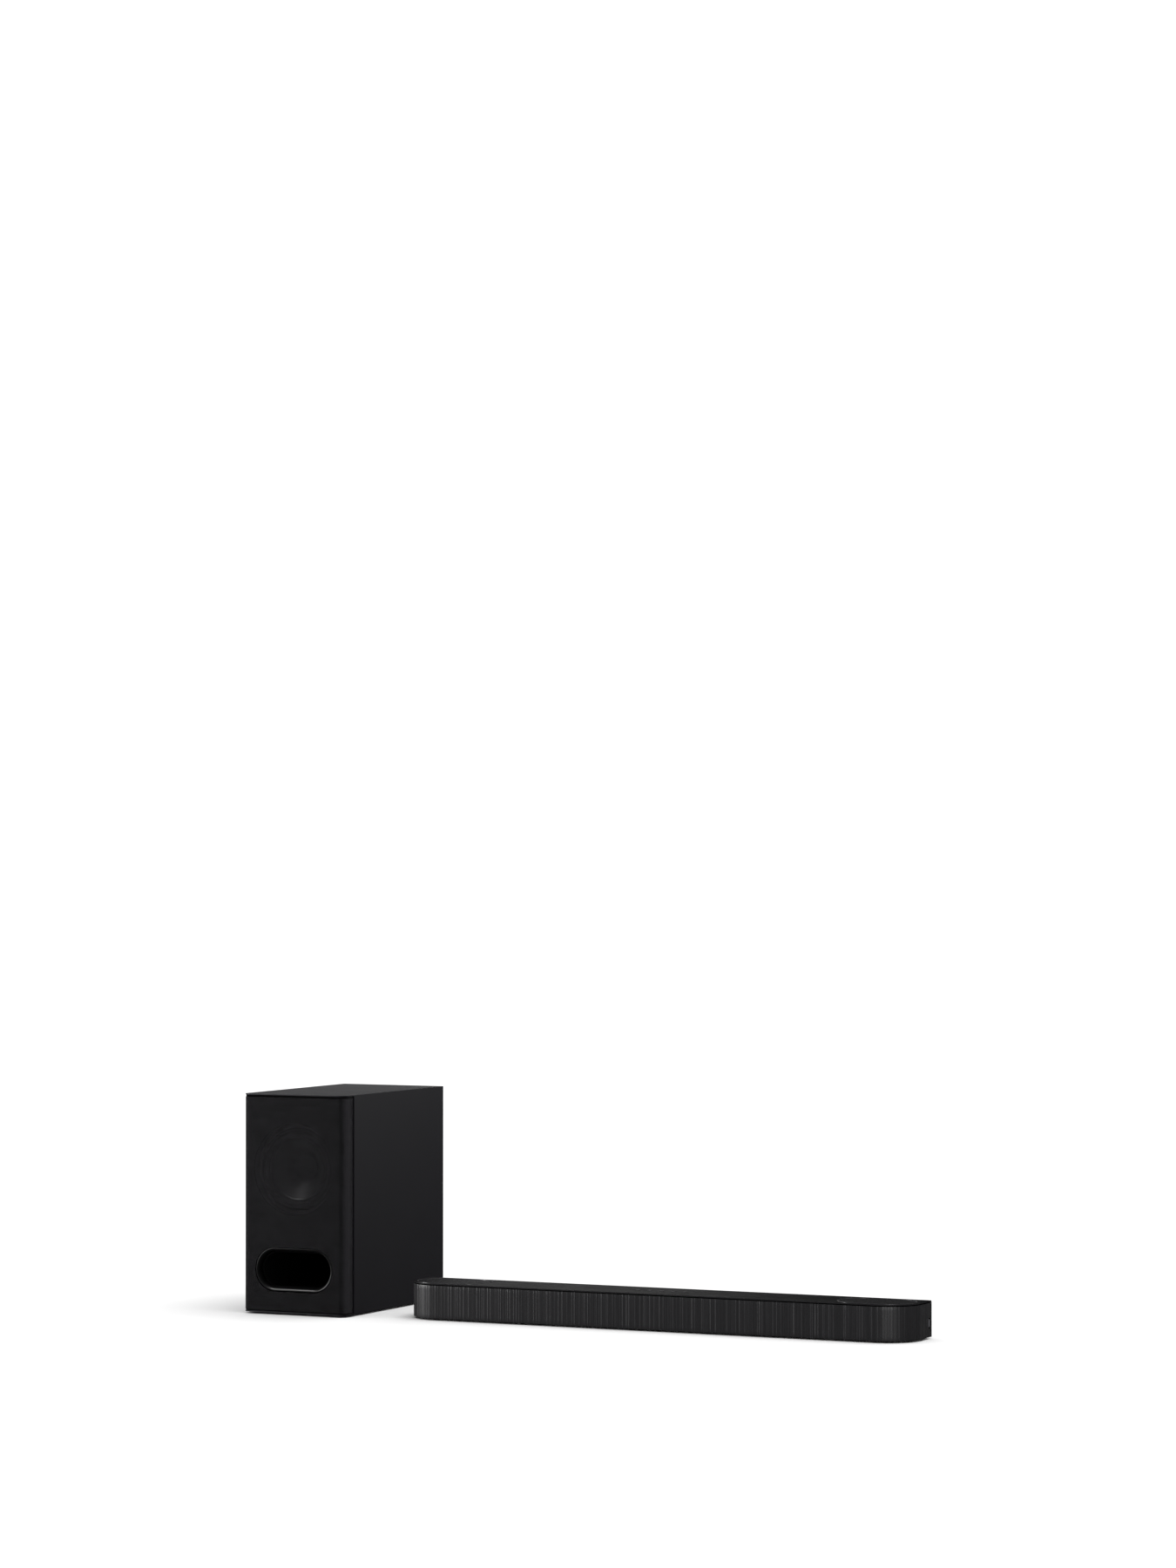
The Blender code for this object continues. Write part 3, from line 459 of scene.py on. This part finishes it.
def stadium_sweep(profile, straight, place, n=40, runs=6):
    """A closed ring: the closed profile of (radius, depth) swept round a stadium. place(u, v, depth) gives the point."""
    ring = stadium_points(straight, n)
    half = n + 1
    full = []
    for i, (c, a, b) in enumerate(ring):
        full.append((c, a, b))
        if i in (n, 2 * n + 1):
            for k in range(1, runs):
                t = k / runs
                full.append((c * (1 - 2 * t), a, b))
    verts, faces = [], []
    m = len(profile)
    for c, a, b in full:
        for r, d in profile:
            verts.append(place(c + r * a, r * b, d))
    for i in range(len(full)):
        j = (i + 1) % len(full)
        for q in range(m):
            w = (q + 1) % m
            faces.append((i * m + q, i * m + w, j * m + w, j * m + q))
    return verts, faces


def spline(points, per):
    """Catmull-Rom points through an open list of tuples."""
    out = []
    for i in range(len(points) - 1):
        p = [points[max(i - 1, 0)], points[i], points[i + 1], points[min(i + 2, len(points) - 1)]]
        for k in range(per):
            t = k / per
            out.append(tuple(
                0.5 * (2 * b + (c - a) * t + (2 * a - 5 * b + 4 * c - d) * t * t + (3 * b - a - 3 * c + d) * t ** 3)
                for a, b, c, d in zip(*p)
            ))
    out.append(tuple(points[-1]))
    return out


def lathe(profile, segments, place, arc=(0.0, 2 * math.pi)):
    """Closed profile of (radius, depth) turned about the depth axis. place(a, b, depth)."""
    whole = abs(arc[1] - arc[0] - 2 * math.pi) < 1e-9
    steps = segments if whole else segments + 1
    verts, faces = [], []
    m = len(profile)
    for i in range(steps):
        t = arc[0] + (arc[1] - arc[0]) * i / segments
        for r, d in profile:
            verts.append(place(r * math.cos(t), r * math.sin(t), d))
    for i in range(segments):
        j = (i + 1) % steps
        for q in range(m):
            w = (q + 1) % m
            faces.append((i * m + q, i * m + w, j * m + w, j * m + q))
    if not whole:
        faces.append(tuple(range(m)))
        faces.append(tuple((steps - 1) * m + q for q in reversed(range(m))))
    return verts, faces


def solid_of_revolution(profile, segments, place):
    """Profile from the axis out and back to the axis: the first and last radius are 0."""
    verts, faces = [], []
    inner = profile[1:-1]
    m = len(inner)
    for i in range(segments):
        t = 2 * math.pi * i / segments
        for r, d in inner:
            verts.append(place(r * math.cos(t), r * math.sin(t), d))
    for i in range(segments):
        j = (i + 1) % segments
        for q in range(m - 1):
            faces.append((i * m + q, i * m + q + 1, j * m + q + 1, j * m + q))
    for p, q in ((profile[0], 0), (profile[-1], m - 1)):
        verts.append(place(0.0, 0.0, p[1]))
        top = len(verts) - 1
        for i in range(segments):
            j = (i + 1) % segments
            faces.append((top, i * m + q, j * m + q))
    return verts, faces


def plate(name, loops, z0, z1, edge, mat, body):
    """A flat plate from outlines in mm (row frame), with rounded edges of radius edge."""
    c = D.curves.new(name, "CURVE")
    c.dimensions = "2D"
    c.fill_mode = "BOTH"
    c.extrude = ((z1 - z0) / 2 - edge) * MM
    c.bevel_depth = edge * MM
    c.bevel_resolution = 3
    c.offset = -edge * MM
    for loop in loops:
        sp = c.splines.new("POLY")
        sp.points.add(len(loop) - 1)
        for point, (x, y) in zip(sp.points, loop):
            point.co = (x * MM, y * MM, 0.0, 1.0)
        sp.use_cyclic_u = True
    guide = D.objects.new(name + "_guide", c)
    scene.collection.objects.link(guide)
    bpy.context.view_layer.update()
    me = D.meshes.new_from_object(guide.evaluated_get(bpy.context.evaluated_depsgraph_get()))
    D.objects.remove(guide, do_unlink=True)
    D.curves.remove(c)
    bm = bmesh.new()
    bm.from_mesh(me)
    bmesh.ops.remove_doubles(bm, verts=bm.verts, dist=1e-7)
    bm.transform(Matrix.Translation((0, 0, (z0 + z1) / 2 * MM)))
    bmesh.ops.recalc_face_normals(bm, faces=bm.faces)
    bm.to_mesh(me)
    bm.free()
    me.name = name
    me.materials.clear()
    me.materials.append(mat)
    me.shade_smooth()
    me.set_sharp_from_angle(angle=math.radians(40))
    o = D.objects.new(name, me)
    scene.collection.objects.link(o)
    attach(o, body)
    return o


def arc(cx, cy, r, a0, a1, n):
    return [(cx + r * math.cos(math.radians(a0 + (a1 - a0) * i / n)), cy + r * math.sin(math.radians(a0 + (a1 - a0) * i / n))) for i in range(n + 1)]


def cut_through(o, cutter):
    """Takes the cutter out of a piece, for good."""
    m = o.modifiers.new("cut", "BOOLEAN")
    m.solver = "EXACT"
    m.object = cutter
    bpy.context.view_layer.update()
    me = D.meshes.new_from_object(o.evaluated_get(bpy.context.evaluated_depsgraph_get()))
    o.modifiers.clear()
    old = o.data
    o.data = me
    D.meshes.remove(old)
    D.objects.remove(cutter, do_unlink=True)


def prism(name, points, axis, a, b):
    """A closed prism over (u, v) points in mm between a and b along an axis, for cutting."""
    put = {"X": lambda u, v, w: (w, u, v), "Y": lambda u, v, w: (u, w, v), "Z": lambda u, v, w: (u, v, w)}[axis]
    n = len(points)
    verts = [put(u, v, a) for u, v in points] + [put(u, v, b) for u, v in points]
    faces = [tuple(range(n)), tuple(reversed(range(n, 2 * n)))] + [(i, (i + 1) % n, n + (i + 1) % n, n + i) for i in range(n)]
    me = D.meshes.new(name)
    me.from_pydata([(x * MM, y * MM, z * MM) for x, y, z in verts], [], faces)
    bm = bmesh.new()
    bm.from_mesh(me)
    bmesh.ops.recalc_face_normals(bm, faces=bm.faces)
    bm.to_mesh(me)
    bm.free()
    o = D.objects.new(name, me)
    scene.collection.objects.link(o)
    return o


# ---- CAD nodes that stay get their finish and a fine edge radius ---------------------
def finish_node(name, mat, edge=0.0, angle=40.0):
    o = nodes[name]
    o.data.materials.clear()
    o.data.materials.append(M[mat])
    if edge:
        w = o.modifiers.new("Weld", "WELD")
        w.merge_threshold = 0.000002
        b = o.modifiers.new("Bevel", "BEVEL")
        b.width = edge * MM
        b.segments = 3
        b.limit_method = "ANGLE"
        b.angle_limit = math.radians(angle)
        b.use_clamp_overlap = True
        b.harden_normals = False
    return o


for n in nodes:
    finish_node(n, SLOT_MAT[slot_of[n]])

# ================================================================================
# The bar's pieces
# ================================================================================
rng = random.Random(7)
path = wrap_path(HALF, BAR_R, FAB_YEND, 0.62)
length = path[-1][4]
ridges = []
s = 2.0
while s < length:
    ridges.append((s, rng.uniform(0.45, 1.0), rng.choice((0.14, 0.2, 0.3, 0.36, 0.4)), rng.uniform(0, 100)))
    s += rng.choice((2.6, 3.4, 4.4, 5.2, 7.0, 9.5))


def rib_height(s, z, cache={}):
    key = round(s, 3)
    if key not in cache:
        h = 0.05 * (0.5 + 0.5 * math.sin(2 * math.pi * s / 2.6))
        for c, w, a, _ in ridges:
            if abs(s - c) < 4 * w:
                h += a * math.exp(-((s - c) / w) ** 2)
        cache[key] = min(h, 0.5)
    return cache[key]


rows = [(FAB_Z0 + 0.7 + (FAB_Z1 - FAB_Z0 - 1.4) * i / 9, 0.55, 1.0) for i in range(10)]
profile = (
    [(FAB_Z0 + 0.02, 0.78, 0.0), (FAB_Z0 + 0.15, 0.62, 0.5)]
    + rows
    + [(FAB_Z1 - 0.15, 0.62, 0.5), (FAB_Z1 - 0.02, 0.78, 0.0), (FAB_Z1 - 0.1, 0.9, 0.0), (FAB_Z0 + 0.1, 0.9, 0.0)]
)
verts, faces, uvs, ribs = sweep_open(path, profile, BX, BY, rib_height)
sleeve = piece("bar_knit_sleeve", verts, faces, M["knit"], "bar", uvs, [h / 0.45 for h in ribs])
CAP_Y, CAP_Z, CAP_R, CAP_S = 97.0, 26.8, 4.2, 8.0


def upright(r, straight, n=20):
    return [(BY + CAP_Y + r * b, CAP_Z + c + r * a) for c, a, b in stadium_points(straight, n)]


cut_through(sleeve, prism("cap_cut", upright(CAP_R + 0.9, CAP_S), "X", BX + HALF - 9, BX + HALF + 5))
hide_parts("bar_grille_fabric")

# oblong cap with a shallow dish, and the rim round its hole
verts, faces = stadium_sweep(
    [(0.02, 0.7), (1.2, 0.7), (1.9, 0.5), (2.4, 0.15), (2.8, 0.2), (3.1, 0.6), (3.1, 2.8), (0.02, 2.8)],
    CAP_S, lambda u, v, d: (BX + HALF - 0.6 - d, BY + CAP_Y + v, CAP_Z + u), 20, 3,
)
cap = piece("end_cap", verts, faces, M["cap"], "bar")
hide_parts("end_port_cap")

# top plate
outline = arc(HALF - BAR_R, BAR_R, BAR_R - 0.3, -90, 0, 40) + arc(HALF - 5.0, 109.7 - 5.0, 4.7, 0, 90, 10)
outline += [(-x, y) for x, y in reversed(outline)]
outline = [(BX + x, BY + y) for x, y in outline]
ovals = []
for s_ in (-1, 1):
    ovals.append([(BX + s_ * OVAL_X + c + OVAL_R * a, BY + OVAL_Y + OVAL_R * b) for c, a, b in stadium_points(OVAL_S, 40)])
BUTTONS = ["power_button", "input_button", "pairing_button", "volume_down_button", "volume_up_button"]
holes = []
for b in BUTTONS:
    lo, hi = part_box(b)
    cx, cy = (lo.x + hi.x) / 2 / MM, (lo.y + hi.y) / 2 / MM
    holes.append(arc(cx, cy, 5.2, 0, 352.5, 47))
top = plate("bar_top_plate", [outline] + ovals + holes, TOP_Z0, TOP_Z1, 0.45, M["top"], "bar")
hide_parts("bar_top_panel")

for side, s_ in (("left", -1), ("right", 1)):
    cx, cy = BX + s_ * OVAL_X, BY + OVAL_Y
    rim = spline([(47.5, -1.6), (47.5, 0.1), (47.0, 0.62), (46.3, 0.66), (45.8, 0.2), (45.5, -0.9), (45.5, -1.6)], 4)
    verts, faces = stadium_sweep(rim, OVAL_S, lambda u, v, d: (cx + u, cy + v, TOP_Z1 + d), 48, 10)
    piece(f"height_rim_{side}", verts, faces, M["rim"], "bar")
    # mesh insert: a slightly crowned skin
    rings = [(45.2, -0.75), (44.6, -0.45), (43.5, -0.38), (38.0, -0.30), (28.0, -0.22), (14.0, -0.16), (0.02, -0.15), (0.02, -1.1), (45.2, -1.1)]
    verts, faces = stadium_sweep(rings, OVAL_S, lambda u, v, d: (cx + u, cy + v, TOP_Z1 + d), 48, 10)
    g = piece(f"height_mesh_{side}", verts, faces, M["mesh"], "bar")
    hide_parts(f"top_grille_{side}")

# buttons: shallow dished caps with a small raised mark
for b in BUTTONS:
    lo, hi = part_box(b)
    cx, cy, z1 = (lo.x + hi.x) / 2 / MM, (lo.y + hi.y) / 2 / MM, hi.z / MM
    prof = [(0, -0.25), (1.2, -0.24), (2.6, -0.17), (3.6, -0.03), (4.1, 0.0), (4.5, -0.12), (4.75, -0.45), (4.8, -2.8), (6.2, -2.8), (6.2, -3.8), (2.0, -3.8), (2.0, -4.7), (0, -4.7)]
    verts, faces = solid_of_revolution(prof, 56, lambda u, v, d: (cx + u, cy + v, z1 + d))
    o = piece(b + "_cap", verts, faces, M["button"], b)
    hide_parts(b)

    def bar_mark(tag, x0, x1, y0, y1):
        vs, fs = [], []
        for z in (z1 - 0.5, z1 - 0.08):
            vs += [(cx + x0, cy + y0, z), (cx + x1, cy + y0, z), (cx + x1, cy + y1, z), (cx + x0, cy + y1, z)]
        fs = [(0, 1, 2, 3), (4, 5, 6, 7), (0, 1, 5, 4), (1, 2, 6, 5), (2, 3, 7, 6), (3, 0, 4, 7)]
        piece(f"{b}_mark{tag}", vs, fs, M["mark"], b)

    def ring_mark(tag, r, w, a0, a1, dx=0.0, dy=0.0):
        vs, fs = lathe([(r - w, -0.5), (r, -0.5), (r, -0.08), (r - w, -0.08)], 28, lambda u, v, d: (cx + dx + u, cy + dy + v, z1 + d), (math.radians(a0), math.radians(a1)))
        piece(f"{b}_mark{tag}", vs, fs, M["mark"], b)

    if b == "power_button":
        ring_mark("_a", 1.5, 0.32, 125, 415)
        bar_mark("_b", -0.16, 0.16, 0.5, 2.0)
    elif b == "input_button":
        ring_mark("_a", 1.6, 0.32, 40, 320)
        bar_mark("_b", -0.4, 2.2, -0.16, 0.16)
    elif b == "pairing_button":
        ring_mark("_a", 0.95, 0.3, 0, 360, -0.9)
        ring_mark("_b", 0.95, 0.3, 0, 360, 0.95)
    elif b == "volume_down_button":
        bar_mark("_a", -1.6, 1.6, -0.17, 0.17)
    else:
        bar_mark("_a", -1.6, 1.6, -0.17, 0.17)
        bar_mark("_b", -0.17, 0.17, 0.19, 1.6)
        bar_mark("_c", -0.17, 0.17, -1.6, -0.19)

finish_node("bar_rear_cover", "rear", 0.5)
finish_node("bar_base_tray", "rear", 0.4)
for n in ("bar_foot_left", "bar_foot_right"):
    finish_node(n, "rubber", 0.5)
finish_node("hdmi_socket", "steel", 0.15)
finish_node("optical_socket", "dark", 0.3)
finish_node("bar_mains_inlet", "dark", 0.3)
finish_node("bar_front_frame", "dark", 0.0)

# ================================================================================
# The subwoofer's pieces
# ================================================================================
finish_node("sub_cabinet", "cabinet", 1.3, 50.0)
finish_node("sub_rear_plate", "rear", 0.35)
finish_node("sub_mains_inlet", "dark", 0.3)
for n in nodes:
    if n.startswith("sub_foot"):
        finish_node(n, "rubber", 0.4)
finish_node("sub_grille_frame", "dark")

path = wrap_path(SHALF, SUB_R, CYE, 2.0, 1.2)
rows = [(CZ0 + 0.8 + (CZ1 - CZ0 - 1.6) * i / 90, 0.12, 1.0) for i in range(91)]
profile = (
    [(CZ0 + 0.02, 0.6, 0.0), (CZ0 + 0.12, 0.3, 0.0), (CZ0 + 0.4, 0.16, 0.0)]
    + rows
    + [(CZ1 - 0.4, 0.16, 0.0), (CZ1 - 0.12, 0.3, 0.0), (CZ1 - 0.02, 0.6, 0.0), (CZ1 - 0.1, 0.75, 0.0)]
    + [(CZ1 - 1 - (CZ1 - CZ0 - 2) * i / 12, 0.75, 0.0) for i in range(13)]
    + [(CZ0 + 0.1, 0.75, 0.0)]
)
verts, faces, uvs, ribs = sweep_open(path, profile, SX, SY)
cloth = piece("sub_woven_sleeve", verts, faces, M["weave"], "subwoofer", uvs)
hole = [(SX + c + 39.0 * a, PORT_Z + 39.0 * b) for c, a, b in stadium_points(77.0, 40)]
cut_through(cloth, prism("port_cut", hole, "Y", SY - 8, SY + 10))
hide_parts("sub_grille_fabric")

front = spline([(38.0, 3.0), (37.8, 1.9), (37.1, 1.3), (36.1, 1.4), (34.6, 2.4), (33.1, 4.2), (31.9, 6.8), (31.2, 10.2), (31.0, 13.9)], 4)
verts, faces = stadium_sweep(front + [(32.6, 13.9), (32.9, 10.4), (34.6, 6.2), (36.6, 4.2)], 77.0, lambda u, v, d: (SX + u, SY + d, PORT_Z + v), 56, 8)
ring = piece("port_flare", verts, faces, M["gloss"], "subwoofer", angle=60)
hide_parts("port_ring")
verts, faces = stadium_sweep([(29.8, 15.5), (29.8, 110), (29.8, 225), (32.1, 225), (32.1, 15.5)], 77.0, lambda u, v, d: (SX + u, SY + d, PORT_Z + v), 40, 4)
tube = piece("port_tube", verts, faces, M["dark"], "subwoofer")
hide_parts("port_duct")


# woofer, seen faintly through the weave
def out_y(u, v, d):
    return (SX + u, SY + 20.0 + d, WOOFER_Z + v)


cone_front = spline([(56.8, -2.1), (53.6, -1.9), (49.0, 3.0), (42.0, 10.6), (30.0, 22.3), (20.4, 28.9)], 5)
cone_back = [(r, d + 0.9) for r, d in reversed(cone_front)]
verts, faces = lathe(cone_front + cone_back, 96, out_y)
cone = piece("woofer_paper_cone", verts, faces, M["paper"], "woofer_motion", angle=50)
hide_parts("woofer_cone")
cap_front = [(0, 31.0), (8.0, 29.6), (16.0, 27.6), (22.4, 25.6), (22.4, 26.3), (16.0, 28.3), (8.0, 30.3), (0, 31.7)]
verts, faces = solid_of_revolution(cap_front, 96, out_y)
cap = piece("woofer_centre_cap", verts, faces, M["dome"], "woofer_motion", angle=50)
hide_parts("woofer_dust_cap")
roll = spline([(73.0, -3.7), (68.0, -3.8), (65.8, -6.2), (62.0, -8.6), (58.2, -6.2), (56.2, -3.8), (53.8, -3.7)], 4)
roll_back = [(r, d + 1.0) for r, d in reversed(roll)]
for k in range(12):
    mid = 2 * math.pi * k / 12
    verts, faces = lathe(roll + roll_back, 8, out_y, (mid - math.pi / 12, mid + math.pi / 12))
    o = piece(f"woofer_surround_{k + 1:02d}", verts, faces, M["roll"], None, angle=60)
    c, s_ = math.cos(mid), math.sin(mid)
    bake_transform(o)
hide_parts("woofer_surround")

# ---- the two mains inlets' pins, in metal -------------------------------------------
for name, body in (("bar_mains_inlet", "bar"), ("sub_mains_inlet", "subwoofer")):
    lo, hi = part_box(name)
    cx, cz, yb = (lo.x + hi.x) / 2 / MM, (lo.z + hi.z) / 2 / MM, lo.y / MM
    for tag, d in (("a", -4.3), ("b", 4.3)):
        prof = [(0, 10.7), (0.7, 10.6), (1.15, 10.3), (1.32, 9.8), (1.32, 3.4), (0, 3.4)]
        verts, faces = solid_of_revolution(prof, 20, lambda u, v, w: (cx + d + u, yb + w, cz + v))
        piece(f"{name}_pin_{tag}", verts, faces, M["steel"], body)

# ================================================================================
# Floor, light and camera
# ================================================================================
me = D.meshes.new("floor")
bm = bmesh.new()
bmesh.ops.create_grid(bm, x_segments=1, y_segments=1, size=60.0)
bm.to_mesh(me)
bm.free()
floor = D.objects.new("floor", me)
scene.collection.objects.link(floor)
k = Mat("pale_floor")
k.set(Base_Color=(0.97, 0.97, 0.97), Roughness=1.0)
k.bsdf.inputs["Specular IOR Level"].default_value = 0.0
me.materials.append(k.m)
floor.visible_glossy = False

world = D.worlds.new("studio")
scene.world = world
world.use_nodes = True
nt = world.node_tree
nt.nodes.clear()
out = nt.nodes.new("ShaderNodeOutputWorld")
path_node = nt.nodes.new("ShaderNodeLightPath")
seen = nt.nodes.new("ShaderNodeBackground")
seen.inputs["Color"].default_value = (1, 1, 1, 1)
seen.inputs["Strength"].default_value = 1.1
diffuse = nt.nodes.new("ShaderNodeBackground")
diffuse.inputs["Color"].default_value = (1, 1, 1, 1)
diffuse.inputs["Strength"].default_value = 0.93
glossy = nt.nodes.new("ShaderNodeBackground")
glossy.inputs["Color"].default_value = (1, 1, 1, 1)
glossy.inputs["Strength"].default_value = 0.06
a = nt.nodes.new("ShaderNodeMixShader")
b = nt.nodes.new("ShaderNodeMixShader")
nt.links.new(path_node.outputs["Is Glossy Ray"], a.inputs[0])
nt.links.new(diffuse.outputs[0], a.inputs[1])
nt.links.new(glossy.outputs[0], a.inputs[2])
nt.links.new(path_node.outputs["Is Camera Ray"], b.inputs[0])
nt.links.new(a.outputs[0], b.inputs[1])
nt.links.new(seen.outputs[0], b.inputs[2])
nt.links.new(b.outputs[0], out.inputs["Surface"])


def light_group(name, bodies):
    group = D.collections.new(name)
    for o in scene.objects:
        if o.type == "MESH" and o != floor and (bodies is None or group_of.get(o.name, "") in bodies):
            group.objects.link(o)
    return group


# what each mesh belongs to: the soundbar or the subwoofer, by where it stands
group_of = {}
for o in scene.objects:
    if o.type == "MESH" and o != floor:
        xs = [(o.matrix_world @ v.co).x for v in o.data.vertices[:50]]
        group_of[o.name] = "subwoofer" if sum(xs) / len(xs) < (SX + SHALF + 20) * MM else "bar"
LIT = {"all": light_group("softboxes_on_all", None), "bar": light_group("softboxes_on_bar", ("bar",)), "sub": light_group("softboxes_on_subwoofer", ("subwoofer",))}
SKIN = ("sub_woven_sleeve", "sub_cabinet", "port_flare")
LIT["skin"] = D.collections.new("softboxes_on_subwoofer_skin")
LIT["woofer"] = D.collections.new("softboxes_on_woofer")
for o in LIT["sub"].objects:
    if o.name in SKIN:
        LIT["skin"].objects.link(o)
    if o.name in ("woofer_paper_cone", "woofer_centre_cap") or o.name.startswith("woofer_surround"):
        LIT["woofer"].objects.link(o)


def softbox(name, at, to, size, power, on="all", unshadowed=False):
    l = D.lights.new(name, "AREA")
    l.shape = "RECTANGLE"
    l.size, l.size_y = size
    l.energy = power
    l.spread = math.radians(160.0)
    o = D.objects.new(name, l)
    scene.collection.objects.link(o)
    o.location = at
    o.visible_camera = False
    o.light_linking.receiver_collection = LIT[on]
    if unshadowed:
        o.light_linking.blocker_collection = LIT[on]
    o.rotation_euler = (Vector(to) - Vector(at)).to_track_quat("-Z", "Y").to_euler()
    return o


softbox("left_rim", (-1.6, -0.78, 0.35), (-0.3, -0.1, 0.04), (0.5, 0.5), 15, "bar", True)
softbox("left_key", (-1.25, -0.65, 0.3), (-0.52, -0.1, 0.2), (0.4, 0.5), 7, "skin")
softbox("front_fill", (0.6, -3.0, 0.9), (-0.52, -0.1, 0.2), (0.8, 0.8), 1, "skin", True)
softbox("top_key", (-1.31, -0.80, 1.76), (-0.52, -0.1, 0.25), (0.6, 0.6), 14, "skin")
softbox("cone_key", (-1.45, -0.80, 1.76), (-0.52, -0.1, 0.25), (1.4, 0.5), 190, "woofer")
softbox("front_right", (1.75, -2.4, 0.6), (0.4, -0.1, 0.05), (0.30, 0.9), 20, "bar")
softbox("right_end", (1.9, 0.2, 0.5), (0.6, -0.1, 0.05), (0.4, 0.4), 0.5, "bar")
softbox("back_right", (0.9, 1.3, 1.1), (-0.4, 0.0, 0.3), (0.8, 0.7), 14, "sub")
softbox("back_left", (-1.3, 1.9, 0.9), (-0.1, 0.0, 0.2), (1.4, 0.5), 1.7)

# a broad light from above right that only draws the soft shadow on the floor
overhead = D.lights.new("overhead", "SUN")
overhead.energy = 0.9
overhead.angle = math.radians(36.0)
overhead_at = D.objects.new("overhead", overhead)
scene.collection.objects.link(overhead_at)
overhead_at.rotation_euler = Vector((-0.30, -0.05, -0.95)).to_track_quat("-Z", "Y").to_euler()
floor_only = D.collections.new("overhead_on_floor")
floor_only.objects.link(floor)
overhead_at.light_linking.receiver_collection = floor_only

cam = D.cameras.new("camera")
cam.lens = 104.0
cam.sensor_width = 36
cam.sensor_fit = "AUTO"
cam.clip_end = 300
camera = D.objects.new("camera", cam)
scene.collection.objects.link(camera)
camera.location = (3.42241, -7.12524, 0.81902)
camera.rotation_euler = Vector((-0.43666, 0.89951, 0.01438)).to_track_quat("-Z", "Y").to_euler()
scene.camera = camera
scene.view_settings.view_transform = "Standard"
